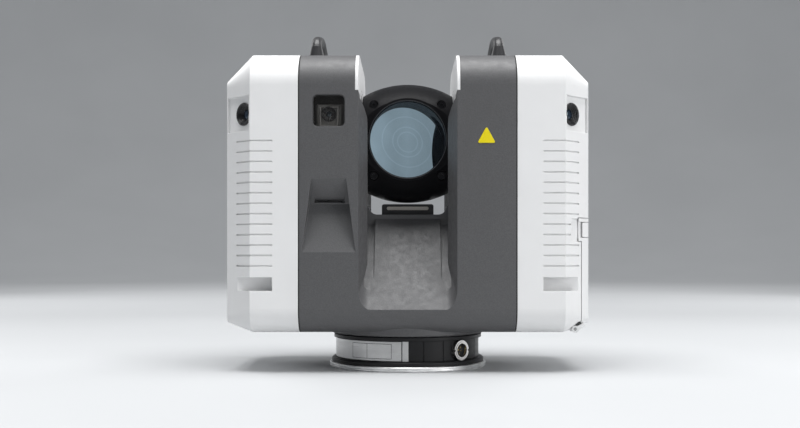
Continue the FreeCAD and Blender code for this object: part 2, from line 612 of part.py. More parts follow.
def make_yoke_housing():
    """Hollow U-shaped casting with open ends, a ramped saddle and the skirt over the base."""
    corners = end_outline("body_half_depth", "body_bottom", "body_top", "bottom_radius",
                          "top_radius")
    block = prism("yoke_block", "YZ_Plane", corners, "-seam_x", "seam_x")
    skirt = turned("yoke_skirt", [(0, "skirt_bottom"), ("skirt_radius - 0.8", "skirt_bottom"),
                                  ("skirt_radius", "skirt_bottom + 0.8"), ("skirt_radius", 30),
                                  (0, 30)])
    solid = fuse("yoke_solid", [block, skirt])
    opened = cut("yoke_opened", solid, make_gap())

    rise = f"{RAMP_SLOPE} * (valley_foot_y - saddle_half_depth)"
    valley = prism("valley", "YZ_Plane",
                   [("-valley_foot_y - 0.5", f"ramp_head - {rise}"),
                    ("-saddle_half_depth + 0.01", "ramp_head - valley_depth"),
                    ("-saddle_half_depth + 0.01", "ramp_head + 2"),
                    ("-valley_foot_y - 0.5", f"ramp_head - {rise} + 2")],
                   "valley_start", "gap_half_width")
    sunk = cut("yoke_sunk", opened, all_corners("valley", valley))

    web = box("saddle_web", ("cheek_half_gap - web_radius", "gap_half_width + 1"),
              ("-saddle_half_depth", "saddle_half_depth"),
              ("saddle_top - 1", "saddle_top + web_radius"))
    scoop = cylinder("saddle_web_scoop", "web_radius", 40,
                     ("cheek_half_gap - web_radius", -20, "saddle_top + web_radius"), AXES["y"])
    rounded_web = cut("saddle_web_rounded", web, [scoop])
    walled = fuse("yoke_walled", [sunk] + all_corners("cheek", make_cheek())
                  + both_sides("saddle_web_left", rounded_web))

    inner_wall = "gap_half_width + liner_thickness + room_wall"
    right_room = tower_cavity("right_room", inner_wall, 72)
    left_room = mirrored("left_room", right_room, RIGHT)
    backing = recess_tool("recess_backing", "recess_top + 10", -40, 111, "recess_bottom - 7",
                          16, 20)
    left_room_clear = cut("left_room_clear", left_room, [backing])
    drop = f"{RAMP_SLOPE} * casting_wall - casting_wall * 1.66"
    bridge = prism("bridge_room", "YZ_Plane",
                   [("-body_half_depth + casting_wall", "body_bottom + casting_wall", "room_corner"),
                    ("body_half_depth - casting_wall", "body_bottom + casting_wall", "room_corner"),
                    ("body_half_depth - casting_wall", f"ramp_foot + {drop}"),
                    ("saddle_half_depth - 2", "ramp_head - 5"),
                    ("-saddle_half_depth + 2", "ramp_head - 5"),
                    ("-body_half_depth + casting_wall", f"ramp_foot + {drop}")],
                   "-valley_start + 2", "valley_start - 2")
    side_bridge = prism("side_bridge_room", "YZ_Plane",
                        [("-body_half_depth + 8", "body_bottom + casting_wall", "room_corner"),
                         ("body_half_depth - 8", "body_bottom + casting_wall", "room_corner"),
                         ("body_half_depth - 8", "ramp_foot + 1"),
                         ("saddle_half_depth - 2", "ramp_head - 10"),
                         ("-saddle_half_depth + 2", "ramp_head - 10"),
                         ("-body_half_depth + 8", "ramp_foot + 1")],
                        f"-({inner_wall}) - 0.5", f"{inner_wall} + 0.5")
    liner_seat = prism("liner_seat", "YZ_Plane", liner_outline(),
                       "gap_half_width", "gap_half_width + liner_thickness")
    spindle = cylinder("spindle_passage", "spindle_hole", 90, (-45, 0, "axis_height"), AXES["x"])
    shaft = cylinder("shaft_passage", "azimuth_shaft_radius", 20, (0, 0, 15), AXES["z"])
    upper_window = prism("upper_window_hole", "XZ_Plane",
                         square_outline("window_side / 2", "window_corner"), -62, -50)
    recess = recess_tool("camera_recess", "recess_top", "recess_depth - body_half_depth",
                         "recess_inner_height", "recess_bottom", "recess_top_half",
                         "recess_bottom_half")
    pane_seat = tilted("pane_seat", "0", "-0.1", "pane_sunk")
    sensor_pocket = tilted("sensor_pocket", "pane_ledge", "pane_sunk - 0.1", "pocket_floor")
    lens_tunnel = make_lower_module("lens_tunnel", 30)
    screws = [cylinder(f"handle_clearance_{i}", "handle_screw_radius", 10, (x, y, 204), AXES["z"])
              for i, (x, y) in enumerate(handle_feet())]
    hollow = cut("yoke_hollow", walled, [right_room, left_room_clear, bridge, side_bridge])
    boss = spindle_washer("bearing_boss", "spindle_hole", "boss_radius", "gap_half_width",
                          "boss_end")
    bossed = fuse("yoke_bossed", [hollow] + both_sides("bearing_boss_left", boss))
    seat = spindle_washer("bearing_seat", "beam_shaft_bore", "bearing_radius", "bearing_near",
                          "boss_end + 1")
    return cut("yoke_housing", bossed,
               both_sides("bearing_seat_left", seat) + both_sides("liner_seat_left", liner_seat)
               + [spindle, shaft, upper_window, recess, pane_seat, sensor_pocket, lens_tunnel]
               + screws)


def make_lower_module(name, length):
    """Cylinder square to the lower camera's tilted window, reaching back into the tower."""
    tilt = recess_tilt()
    back = Rotation(Vector(0, 0, 1), tilt.multVec(Vector(0, 0, 1)))
    start = tilt.multVec(Vector(0, value("(pane_low + pane_high) / 2"), value("pane_sunk")))
    return cylinder(name, "tube_radius", length,
                    ("-camera_x", f"-body_half_depth + {start.y:.4f}",
                     f"recess_top + {start.z:.4f}"), back)


def handle_feet():
    """Plan positions of the four handle feet."""
    return [(f"{side} * handle_x", f"{end} * handle_half_length")
            for side in (-1, 1) for end in (-1, 1)]


# ---- carrying handles ------------------------------------------------------------------------------

def make_handle(name, side):
    """Round bar bent into an arch along Y, on two tapered feet with blind screw holes."""
    body = doc.addObject("PartDesign::Body", name + "_bar")
    half = "handle_half_length"
    path = draw(body, name + "_path", "YZ_Plane",
                [(f"-{half}", "body_top"), (f"-{half}", "handle_shoulder", "handle_bend"),
                 (0, "handle_crest", "handle_arch"), (half, "handle_shoulder", "handle_bend"),
                 (half, "body_top")],
                f"{side} * handle_x", closed=False)
    section = new_sketch(body, name + "_section", "XY_Plane", "body_top")
    section.addGeometry(Part.Circle(Vector(value(f"{side} * handle_x"),
                                           -value("handle_half_length"), 0),
                                    Vector(0, 0, 1), value("handle_radius")))
    place_point(section, 0, 3, f"{side} * handle_x", f"-{half}")
    index = section.addConstraint(Sketcher.Constraint("Radius", 0, value("handle_radius")))
    bind(section, f"Constraints[{index}]", "handle_radius")
    pipe = body.newObject("PartDesign::AdditivePipe", name + "_pipe")
    pipe.Profile = section
    pipe.Spine = (path, [])
    feet = []
    holes = []
    for end in (-1, 1):
        foot = doc.addObject("Part::Cone", f"{name}_foot_{end + 1}")
        bind(foot, "Radius1", "handle_foot_radius")
        bind(foot, "Radius2", "handle_radius")
        bind(foot, "Height", "handle_foot_height")
        bind_base(foot, (f"{side} * handle_x", f"{end} * handle_half_length", "body_top"))
        feet.append(foot)
        holes.append(cylinder(f"{name}_hole_{end + 1}", "handle_screw_radius", 8,
                              (f"{side} * handle_x", f"{end} * handle_half_length", 209),
                              AXES["z"]))
    return cut(name, fuse(name + "_solid", [body] + feet), holes)


def make_handle_screws():
    screws = []
    for i, (x, y) in enumerate(handle_feet()):
        shank = cylinder(f"handle_shank_{i}", "handle_screw_radius", 10.5, (x, y, 206),
                         AXES["z"])
        head = cylinder(f"handle_head_{i}", "handle_screw_head", "handle_screw_height",
                        (x, y, "body_top - casting_wall - handle_screw_height"), AXES["z"])
        drive = cylinder(f"handle_drive_{i}", 1.5, 2, (x, y, 203), AXES["z"])
        screws.append(cut(f"handle_screw_{i}", fuse(f"handle_screw_solid_{i}", [shank, head]),
                          [drive]))
    return group("handle_screws", screws)


# ---- fittings between the towers -----------------------------------------------------------------

def make_reference_block():
    corners = [("-block_half_width", "saddle_top"), ("block_half_width", "saddle_top"),
               ("block_half_width", "saddle_top + block_height", 1.5),
               ("-block_half_width", "saddle_top + block_height", 1.5)]
    block = prism("reference_body", "XZ_Plane", corners, "-block_half_depth", "block_half_depth")
    return cut("reference_block", block, [make_strip("strip_slot", 0)])


def make_strip(name, stand_out):
    """Rounded bar in the block's front face."""
    low = "saddle_top + strip_level"
    high = "saddle_top + strip_level + strip_height"
    corners = end_outline("strip_half_length", low, high, "strip_corner", "strip_corner")
    return prism(name, "XZ_Plane", corners, f"-block_half_depth - {stand_out}",
                 "strip_seat_depth - block_half_depth")


# ---- rotor with the scanning window ---------------------------------------------------------------

def along_axis(thing):
    """Raise a piece drawn about the X axis to the rotor's axis."""
    bind(thing, "Placement.Base.z", "axis_height")
    return thing


def half_space(name, low, high):
    """Slab square to the 45 degree mirror, between two distances in front of its face."""
    slab = doc.addObject("Part::Box", name)
    bind(slab, "Length", f"({high}) - ({low})")
    slab.Width = 120
    slab.Height = 120
    slab.Placement = Placement(Vector(), Rotation(Vector(0, 0, 1), -45))
    bind_base(slab, (f"({low}) / sqrt(2) - 60 / sqrt(2)", f"-({low}) / sqrt(2) - 60 / sqrt(2)",
                     "axis_height - 60"))
    return slab


def rotor_screw_rods(name, radius, low, high):
    """Rods along Y at the four screws round the window."""
    rods = []
    for i, (side, level) in enumerate([(-1, -1), (1, -1), (-1, 1), (1, 1)]):
        rods.append(cylinder(f"{name}_{i}", radius, f"({high}) - ({low})",
                             (f"{side} * rotor_screw_x", low,
                              f"axis_height + {level} * rotor_screw_z"), AXES["y"]))
    return rods


def make_rotor():
    """Crowned drum with a flat for the window, the bore to the mirror and the beam bore."""
    drum = along_axis(turned("rotor_drum", [
        ("-drum_half_width", 0), ("drum_half_width", 0), ("drum_half_width", "drum_edge"),
        (0, "drum_apex", "drum_crown"), ("-drum_half_width", "drum_edge")], "X_Axis"))
    flat = box("rotor_flat", (-50, 50), (-60, "-window_plane"),
               ("axis_height - 50", "axis_height + 50"))
    bezel_seat = cylinder("bezel_seat", "window_radius + bezel_width", 12,
                          (0, "-window_plane - 10", "axis_height"), AXES["y"])
    sight = cylinder("sight_bore", "optics_radius", 70, (0, -50, "axis_height"), AXES["y"])
    beam = cylinder("beam_bore", "beam_radius", 40, (0, 0, "axis_height"), AXES["x"])
    mirror_slab = half_space("mirror_slab", "-mirror_thickness", 0)
    front_slab = half_space("front_slab", 0, 60)
    hollow_edge = cylinder("mirror_hollow_edge", "mirror_edge_radius", 120,
                           ("mirror_edge + mirror_edge_radius", -60,
                            "axis_height - mirror_edge_drop"), AXES["y"])
    limit = cut("mirror_limit", box("mirror_limit_box", (-60, "mirror_edge + 6"), (-60, 60),
                                    (100, 210)), [hollow_edge])
    mirror_seat = common("mirror_seat", common("mirror_disc", sight, mirror_slab), limit)
    sight_room = common("sight_room", sight, front_slab)
    beam_room = common("beam_room", beam, front_slab)
    housing = cut("rotor_housing", drum,
                  [flat, bezel_seat, mirror_seat, sight_room, beam_room]
                  + rotor_screw_rods("rotor_counterbore", "counterbore_radius", -40,
                                     "-rotor_screw_seat")
                  + rotor_screw_rods("rotor_tapped", "screw_thread", -26, -12))
    mirror = common("scan_mirror", common("mirror_plate", sight, mirror_slab), limit)
    return housing, mirror


def make_rotor_window():
    pane = cylinder("rotor_window", "window_radius", "window_thickness",
                    (0, "-window_plane", "axis_height"), AXES["y"])
    outer = cylinder("bezel_outer", "window_radius + bezel_width", "bezel_depth",
                     (0, "-window_plane - bezel_stand_out", "axis_height"), AXES["y"])
    inner = cylinder("bezel_inner", "window_radius", 6, (0, "-window_plane - 2", "axis_height"),
                     AXES["y"])
    return pane, cut("rotor_bezel", outer, [inner])


def make_rotor_screws():
    heads = rotor_screw_rods("rotor_screw_head", "screw_head", "-rotor_screw_seat - 2.9",
                             "-rotor_screw_seat")
    shanks = rotor_screw_rods("rotor_screw_shank", "screw_thread", -25, -13)
    drives = rotor_screw_rods("rotor_screw_drive", "screw_drive", -28, "-rotor_screw_seat - 1.3")
    screws = []
    for i, (head, shank, drive) in enumerate(zip(heads, shanks, drives)):
        screws.append(cut(f"rotor_screw_{i}", fuse(f"rotor_screw_solid_{i}", [head, shank]),
                          [drive]))
    return group("rotor_screws", screws)


SPINDLE_BALLS = 14


def bearing_balls(name, middle):
    """Balls of one spindle bearing, centred on an X coordinate."""
    balls = []
    for i in range(SPINDLE_BALLS):
        angle = math.radians(360 * i / SPINDLE_BALLS)
        base = (middle, f"spindle_ball_circle * {math.cos(angle):.5f}",
                f"axis_height + spindle_ball_circle * {math.sin(angle):.5f}")
        balls.append(sphere(f"{name}_{i}", "spindle_ball", base))
    return balls


def make_spindle_parts():
    """Shafts, bearings, motor and encoder on the rotor's axis."""
    right_shaft = spindle_washer("beam_shaft", "beam_shaft_bore", "spindle_radius",
                                 "drum_half_width", "beam_shaft_end")
    left_shaft = along_axis(turned("motor_shaft", [
        ("-motor_shaft_end", 0), ("-drum_half_width", 0), ("-drum_half_width", "spindle_radius"),
        ("-boss_end", "spindle_radius"), ("-boss_end", "motor_shaft_radius"),
        ("-motor_shaft_end", "motor_shaft_radius")], "X_Axis"))
    inner = spindle_washer("spindle_inner_race", "spindle_radius", "race_inner", "bearing_near",
                           "bearing_far")
    outer = spindle_washer("spindle_outer_race", "race_outer", "bearing_radius", "bearing_near",
                           "bearing_far")
    middle = "(bearing_near + bearing_far) / 2"
    balls = bearing_balls("right_ball", middle) + bearing_balls("left_ball", f"-{middle}")
    return {
        "rotor_shafts": group("rotor_shafts", [right_shaft, left_shaft]),
        "spindle_bearing_inner_rings": group("inner_races", both_sides("inner_race_left", inner)),
        "spindle_bearing_outer_rings": group("outer_races",
                                             both_sides("outer_race_left", outer) + balls),
        "mirror_motor_magnet": spindle_washer("motor_magnet", "motor_shaft_radius",
                                              "rotor_magnet_radius", "-boss_end - 11",
                                              "-boss_end - 1"),
        "mirror_motor_stator": spindle_washer("motor_stator", "rotor_stator_inner",
                                              "rotor_stator_outer", "-boss_end - 12",
                                              "-boss_end"),
        "mirror_encoder_disc": spindle_washer("encoder_disc", "motor_shaft_radius",
                                              "encoder_radius", "-encoder_far", "-encoder_near"),
        "mirror_encoder_head": box("encoder_head", ("-encoder_near - 4", "2 - encoder_near"),
                                   (-4, 4), ("axis_height + encoder_radius + 0.8",
                                             "axis_height + encoder_radius + 5.5")),
    }


# ---- cameras, sticker, display -----------------------------------------------------------------

def make_cameras():
    upper_pane = prism("upper_camera_window", "XZ_Plane",
                       square_outline("window_side / 2", "window_corner"), -59.6, -57.4)
    upper_tube = cylinder("upper_tube", "upper_tube_radius", 14,
                          ("-camera_x - 0.3", -57.4, "upper_camera_height"), AXES["y"])
    board_depth = ("-camera_board_y", "board_thickness - camera_board_y")
    upper_board = box("upper_board", ("-camera_x - board_half", "-camera_x + board_half"),
                      board_depth, ("upper_camera_height - board_half",
                                    "upper_camera_height + board_half"))
    upper_posts = [cylinder(f"upper_post_{i}", "camera_post_radius", 12,
                            (f"-camera_x + {x}", -57, f"upper_camera_height + {z}"), AXES["y"])
                   for i, (x, z) in enumerate([(-12.5, -8), (12.5, -8), (-12.5, 8), (12.5, 8)])]
    wings = box("upper_wings", ("-camera_x - board_half - 3", "-camera_x + board_half + 3"),
                board_depth, ("upper_camera_height - 9.5", "upper_camera_height + 9.5"))
    upper_module = fuse("upper_camera_module", [upper_tube, upper_board, wings] + upper_posts)
    lower_pane = tilted("lower_camera_window", "0", "0.2", "pane_sunk")
    lower_module = make_lower_module("lower_camera_module", 14)
    return upper_pane, lower_pane, group("camera_modules", [upper_module, lower_module])


def corner_rod(name, radius, length, out):
    """Cylinder on the corner camera's axis that starts a distance outside the chamfer."""
    base = (f"corner_camera_x + ({out}) / sqrt(2)",
            f"corner_camera_x + corner_chamfer - body_half_width - body_half_depth"
            f" - ({out}) / sqrt(2)", "corner_camera_height")
    return cylinder(name, radius, length, base, CORNER_IN)


def make_corner_cameras():
    """Four panorama cameras on the corner chamfers: barrels with dished lenses."""
    tube = corner_rod("barrel_tube", "corner_camera_radius", "barrel_length", "-barrel_setback")
    mouth = doc.addObject("Part::Cone", "barrel_mouth")
    mouth.Placement = Placement(Vector(), CORNER_IN)
    bind(mouth, "Radius1", "corner_camera_radius - 1")
    bind(mouth, "Radius2", "corner_lens_radius")
    bind(mouth, "Height", 3)
    bind_base(mouth, ("corner_camera_x - barrel_setback / sqrt(2)",
                      "corner_camera_x + corner_chamfer - body_half_width - body_half_depth"
                      " + barrel_setback / sqrt(2)", "corner_camera_height"))
    bore = corner_rod("barrel_bore", "corner_lens_radius", 12, "-barrel_setback")
    barrel = cut("corner_barrel", tube, [mouth, bore])
    plug = corner_rod("lens_plug", "corner_lens_radius", 5, -3)
    ball = sphere("lens_ball", "corner_lens_ball", ("corner_camera_x - 8.6 / sqrt(2)",
                                   "corner_camera_x + corner_chamfer - body_half_width"
                                   " - body_half_depth + 8.6 / sqrt(2)", "corner_camera_height"))
    lens = common("corner_lens", plug, ball)
    return (group("corner_camera_barrels", all_corners("corner_barrel", barrel)),
            group("corner_camera_lenses", all_corners("corner_lens", lens)))


def make_sticker():
    """Plain triangle, without any symbol, on the right tower."""
    half = "plate_side / 2"
    corners = [(f"plate_x - {half}", "plate_height - plate_foot", "plate_corner"),
               (f"plate_x + {half}", "plate_height - plate_foot", "plate_corner"),
               ("plate_x", "plate_height + plate_tip", "plate_corner")]
    return prism("triangle_plate", "XZ_Plane", corners, "-body_half_depth - plate_stand_out",
                 "-body_half_depth")


def make_display():
    width = ("bezel_edge - display_half", "display_half - bezel_edge")
    height = ("display_low + bezel_sill", "display_high - bezel_sill")
    outer = box("display_outer", ("-display_face", "-display_back"),
                ("-display_half", "display_half"), ("display_low", "display_high"))
    opening = box("display_opening", (-122, -118), width, height)
    glass = box("display_glass", ("0.2 - display_face", "-display_back"), width, height)
    return cut("display_bezel", outer, [opening]), glass


def make_power_button():
    cap = cylinder("button_cap", "button_radius", 5.2, (-120.8, 0, "button_height"), AXES["x"])
    collar = cylinder("button_collar", "button_radius + collar_width", 1.2, (-117.0, 0, "button_height"),
                      AXES["x"])
    dish = sphere("button_dish", 20, (-140.2, 0, "button_height"))
    return cut("power_button", fuse("button_solid", [cap, collar]), [dish])


# ---- inside the towers -----------------------------------------------------------------------------

def make_laser_unit():
    case = box("laser_case", ("laser_near", "laser_far"), ("-laser_half", "laser_half"),
               ("axis_height - laser_low", "axis_height + laser_half"))
    bore = cylinder("laser_bore", "laser_window", 6, ("laser_near - 0.5", 0, "axis_height"),
                    AXES["x"])
    fin_slots = [box(f"laser_slot_{i}", (52 + 6 * i, 55 + 6 * i), (-30, 30),
                     ("axis_height + 18", "axis_height + 30")) for i in range(6)]
    unit = cut("laser_unit", case, [bore] + fin_slots)
    lens = cylinder("collimator_lens", "laser_window", 3, ("laser_near + 2.5", 0, "axis_height"),
                    AXES["x"])
    return unit, lens


def make_electronics():
    back = "board_thickness - board_x"
    board = box("board_plate", ("-board_x", back), (-38, 46), (44, 104))
    posts = [cylinder(f"post_{i}", "board_posts",
                      "board_x - board_thickness - gap_half_width - liner_thickness - room_wall",
                      (back, y, z), AXES["x"])
             for i, (y, z) in enumerate([(-33, 48), (40, 48), (-33, 70), (40, 70)])]
    chips = [box(f"chip_{i}", ("-board_x - 1.6", "-board_x"), (y, y + 14), (z, z + 14))
             for i, (y, z) in enumerate([(-30, 54), (-8, 80), (16, 56)])]
    return group("main_board", [fuse("populated_board", [board] + chips)] + posts)


def make_battery_parts():
    inner_depth = ("bay_wall - bay_half", "bay_half - bay_wall")
    pack_depth = ("bay_wall + battery_gap - bay_half", "bay_half - bay_wall - battery_gap")
    shelf_top = "shelf_low + room_wall"
    shell = box("bay_shell", ("gap_half_width + liner_thickness + room_wall", "bay_end"),
                ("-bay_half", "bay_half"), ("body_bottom + casting_wall + 0.5", "bay_top"))
    room = box("bay_room", ("battery_near - 1", "bay_end + 2"), inner_depth,
               ("bay_floor", "bay_top - bay_wall"))
    shelf = box("bay_shelf", ("battery_near - 1", "bay_end"), inner_depth,
                ("shelf_low", shelf_top))
    packs = [box(name, ("battery_near", "bay_end - 1"), pack_depth,
                 (low, f"{low} + battery_height"))
             for name, low in (("battery_lower", "bay_floor"), ("battery_upper", shelf_top))]
    bay = fuse("battery_bay", [cut("bay_hollow", shell, [room]), shelf])
    return bay, packs


# ---- azimuth drive ------------------------------------------------------------------------------

def make_azimuth_parts():
    """Shaft, bearing, motor, encoder and slip ring between the base and the turning body."""
    shaft = turned("azimuth_shaft", [
        ("azimuth_shaft_bore", "azimuth_shaft_foot"),
        ("azimuth_shaft_radius", "azimuth_shaft_foot"),
        ("azimuth_shaft_radius", "azimuth_flange_low"),
        ("azimuth_flange_radius", "azimuth_flange_low"),
        ("azimuth_flange_radius", "azimuth_flange_top"),
        ("azimuth_shaft_bore", "azimuth_flange_top")])
    return {
        "azimuth_shaft": shaft,
        "azimuth_bearing_inner": washer("bearing_inner_ring", "azimuth_shaft_radius",
                                        "azimuth_race_inner", "azimuth_race_low",
                                        "azimuth_race_top"),
        "azimuth_bearing_outer": group("azimuth_race", [
            washer("bearing_outer", "azimuth_race_outer", "azimuth_bearing_radius",
                   "azimuth_race_low", "azimuth_race_top")]
            + ball_ring("azimuth_bearing_ball", 16, "azimuth_ball", "azimuth_ball_circle",
                        "(azimuth_race_low + azimuth_race_top) / 2")),
        "azimuth_magnet_ring": washer("magnet_ring", "magnet_inner", "magnet_outer",
                                      "magnet_low", "skirt_bottom"),
        "azimuth_motor_stator": washer("stator", "stator_inner", "stator_outer", "flange_top",
                                       "stator_top"),
        "azimuth_encoder_disc": washer("azimuth_disc", "disc_inner", "disc_outer", "disc_low",
                                       "skirt_bottom"),
        "azimuth_encoder_head": box("azimuth_head", ("disc_inner", "disc_outer"), (-5, 5),
                                    ("flange_top", "disc_low - 0.8")),
        "slip_ring_drum": washer("slip_drum", "slip_inner", "azimuth_shaft_bore", "slip_low",
                                 "slip_top"),
        "slip_ring_post": cylinder("slip_post", "slip_post_radius", 20, (0, 0, "bushing_top"),
                                   AXES["z"]),
    }


# ---- base ------------------------------------------------------------------------------------------

def wrap(name, inner, outer, low, high, first_angle, last_angle):
    """Curved plate round the azimuth axis; angles in degrees from the front towards +X."""
    ring = washer(name + "_ring", inner, outer, low, high)
    sector = doc.addObject("Part::Cylinder", name + "_sector")
    sector.Radius = 70
    sector.Height = 40
    sector.Angle = last_angle - first_angle
    sector.Placement = Placement(Vector(), Rotation(Vector(0, 0, 1), first_angle - 90))
    return common(name, ring, sector)


def socket_rod(name, radius, first, last, side=0, up=0):
    """Cylinder on the round socket's axis between two distances from the azimuth axis."""
    angle = "socket_angle - 90"
    rotation = Rotation(Vector(0, 0, 1), value(angle)) * AXES["x"]
    across = f"({side})"
    base = (f"({first}) * cos({angle}) - {across} * sin({angle})",
            f"({first}) * sin({angle}) + {across} * cos({angle})", f"socket_height + {up}")
    return cylinder(name, radius, f"({last}) - ({first})", base, rotation)


OUTER_CONTACTS = 7


def socket_contact_places():
    """Centre contact and seven round it."""
    places = [("0", "0")]
    for i in range(OUTER_CONTACTS):
        angle = math.radians(360 * i / OUTER_CONTACTS + 90)
        places.append((f"contact_circle * {math.cos(angle):.5f}",
                       f"contact_circle * {math.sin(angle):.5f}"))
    return places


def make_socket():
    shell = cut("socket_shell",
                socket_rod("socket_tube", "socket_shell_radius", "socket_root", "socket_mouth"),
                [socket_rod("socket_bore_tool", "socket_bore", 40, 54),
                 socket_rod("insert_seat", "socket_bore + 0.4", 40, "insert_face + 0.2")])
    nut_blank = cut("nut_blank",
                    socket_rod("nut_rod", "socket_nut_radius", "nut_seat", "socket_mouth - 0.3"),
                    [socket_rod("nut_bore", "socket_shell_radius", 48, 54)])
    notches = [socket_rod(f"nut_notch_{i}", 0.8, 48, 54, side, 0)
               for i, side in enumerate((-6.7, 6.7))]
    insert_blank = socket_rod("insert_blank", "socket_bore + 0.4", "socket_root", "insert_face")
    holes = []
    pins = []
    for i, (side, up) in enumerate(socket_contact_places()):
        holes.append(socket_rod(f"insert_hole_{i}", "contact_radius", 40, 50, side, up))
        pins.append(socket_rod(f"contact_{i}", "contact_radius", "socket_root",
                               "insert_face - 0.1", side, up))
    return {
        "socket_shell": shell,
        "socket_nut": cut("socket_nut", nut_blank, notches),
        "socket_insert": cut("socket_insert", insert_blank, holes),
        "socket_contacts": group("socket_contacts", pins),
    }


def base_screw_rods(name, radius, low, high):
    rods = []
    for i in range(6):
        angle = 60 * i + 30
        rods.append(cylinder(f"{name}_{i}", radius, f"({high}) - ({low})",
                             (f"base_screw_circle * cos({angle})",
                              f"base_screw_circle * sin({angle})", low), AXES["z"]))
    return rods


def make_base():
    ring_blank = turned("ring_blank", [
        ("ring_inner_radius", 0), ("ring_radius - 0.6", 0), ("ring_radius", 0.6),
        ("ring_radius", "ring_height / 2 - 0.2"), ("ring_radius - 0.4", "ring_height / 2 - 0.2"),
        ("ring_radius - 0.4", "ring_height / 2 + 0.2"), ("ring_radius", "ring_height / 2 + 0.2"),
        ("ring_radius", "ring_height - 0.5"), ("ring_radius - 0.5", "ring_height"),
        ("ring_inner_radius", "ring_height")])
    ring = cut("base_ring", ring_blank, base_screw_rods("ring_counterbore", 2.8, -1, 2)
               + base_screw_rods("ring_clearance", "screw_thread", 1, 4))
    plate_blank = turned("plate_blank", [
        ("bushing_radius", 1), ("ring_inner_radius", 1), ("ring_inner_radius", "ring_height"),
        ("flange_radius", "ring_height"), ("flange_radius", "flange_top - 0.8"),
        ("flange_radius - 0.8", "flange_top"), ("collar_radius", "flange_top"),
        ("collar_radius", "azimuth_race_top"), ("azimuth_bearing_radius", "azimuth_race_top"),
        ("azimuth_bearing_radius", "flange_top"), ("bushing_radius", "flange_top")])
    plate = cut("base_plate", plate_blank,
                base_screw_rods("plate_tapped", "screw_thread", 3, 6.2))
    screws = []
    heads = base_screw_rods("base_screw_head", "screw_head", 0.4, 2)
    shanks = base_screw_rods("base_screw_shank", "screw_thread", 1.5, 6.2)
    drives = base_screw_rods("base_screw_drive", "screw_drive", 0, 1.4)
    for i, (head, shank, drive) in enumerate(zip(heads, shanks, drives)):
        screws.append(cut(f"base_screw_{i}", fuse(f"base_screw_solid_{i}", [head, shank]),
                          [drive]))
    wall_blank = turned("wall_blank", [
        ("housing_inner", "flange_top"), ("housing_radius", "flange_top"),
        ("housing_radius", "housing_shoulder"), ("lip_radius", "housing_shoulder"),
        ("lip_radius", "base_top"), ("housing_inner - 2", "base_top"),
        ("housing_inner - 2", "housing_shoulder"), ("housing_inner", "housing_shoulder")])
    seams = [wrap(f"wall_seam_{i}", 49.3, 50, "flange_top", "housing_shoulder", angle,
                  angle + 0.5) for i, angle in enumerate((12, 28, 66))]
    wall = cut("base_housing", wall_blank,
               [socket_rod("wall_bore", "socket_shell_radius", 44, 55),
                socket_rod("wall_spotface", "socket_nut_radius", "nut_seat", 55)] + seams)
    bushing = turned("tripod_bushing", [
        ("thread_radius + 0.6", 0), ("bushing_radius", 0), ("bushing_radius", "bushing_top"),
        (0, "bushing_top"),
        (0, "thread_depth"), ("thread_radius", "thread_depth"), ("thread_radius", 0.6)])
    parts = {
        "base_ring": ring, "base_plate": plate, "base_screws": group("base_screws", screws),
        "base_housing": wall, "tripod_bushing": bushing,
        "label_plates": group("label_plates", [
            wrap("label_plate", "housing_radius", "housing_radius + plate_thickness",
                 "strip_low", "strip_top", -90, value("strip_end_angle")),
            wrap("end_plate", "housing_radius", "housing_radius + plate_thickness + 0.2",
                 "strip_low - 0.2", "strip_top + 0.2", -4, 0.5)]),
    }
    parts.update(make_socket())
    return parts


# ---- assembly: node names and files --------------------------------------------------------------

nodes = {}
nodes.update(make_base())
nodes.update(make_azimuth_parts())
nodes["yoke_housing"] = make_yoke_housing()
nodes["inner_liners"] = group("inner_liners", both_sides("left_liner", make_liner("liner")))
nodes["cover_seals"] = group("cover_seals", both_sides("left_seal", make_seal("seal")))
nodes["left_cover"] = make_left_cover()
door_region, door_opening = make_door_parts()
nodes["right_cover"] = make_right_cover(door_opening)
nodes["battery_door"] = make_battery_door(door_region)
nodes["door_hinge_pin"] = hinge_rod("door_hinge_pin", "hinge_pin_radius", "-knuckle_outer",
                                    "knuckle_outer")
nodes["door_latch"] = make_door_latch()
nodes["door_seal"] = make_door_seal()
nodes["left_handle"] = make_handle("left_handle", -1)
nodes["right_handle"] = make_handle("right_handle", 1)
nodes["handle_screws"] = make_handle_screws()
nodes["reference_block"] = make_reference_block()
nodes["reference_strip"] = make_strip("reference_strip", 0.5)
nodes["rotor_housing"], nodes["scan_mirror"] = make_rotor()
nodes["rotor_window"], nodes["rotor_bezel"] = make_rotor_window()
nodes["rotor_screws"] = make_rotor_screws()
nodes.update(make_spindle_parts())
(nodes["upper_camera_window"], nodes["lower_camera_window"],
 nodes["camera_modules"]) = make_cameras()
nodes["corner_camera_barrels"], nodes["corner_camera_lenses"] = make_corner_cameras()
nodes["triangle_plate"] = make_sticker()
nodes["display_bezel"], nodes["display_glass"] = make_display()
nodes["power_button"] = make_power_button()
nodes["laser_unit"], nodes["collimator_lens"] = make_laser_unit()
nodes["main_board"] = make_electronics()
nodes["battery_bay"], (nodes["battery_lower"], nodes["battery_upper"]) = make_battery_parts()

doc.recompute()

failed = [item.Name for item in doc.Objects if "Invalid" in item.State or "Error" in item.State]
if failed:
    raise RuntimeError(f"failed objects: {failed}")

for other in doc.Objects:
    if other.Label in nodes and nodes[other.Label] is not other:
        other.Label = other.Label + "_shape"

os.makedirs("parts", exist_ok=True)
for label, node in nodes.items():
    node.Label = label
    shape = node.Shape
    if shape.isNull() or not shape.isValid():
        raise RuntimeError(f"{label} has no valid shape")
    shape.exportStep(f"parts/{label}.step")
print(len(nodes), "nodes written")
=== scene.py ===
"""Looks of a terrestrial laser scanner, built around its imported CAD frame."""

import json
import math

import bmesh
import bpy
from mathutils import Matrix, Vector


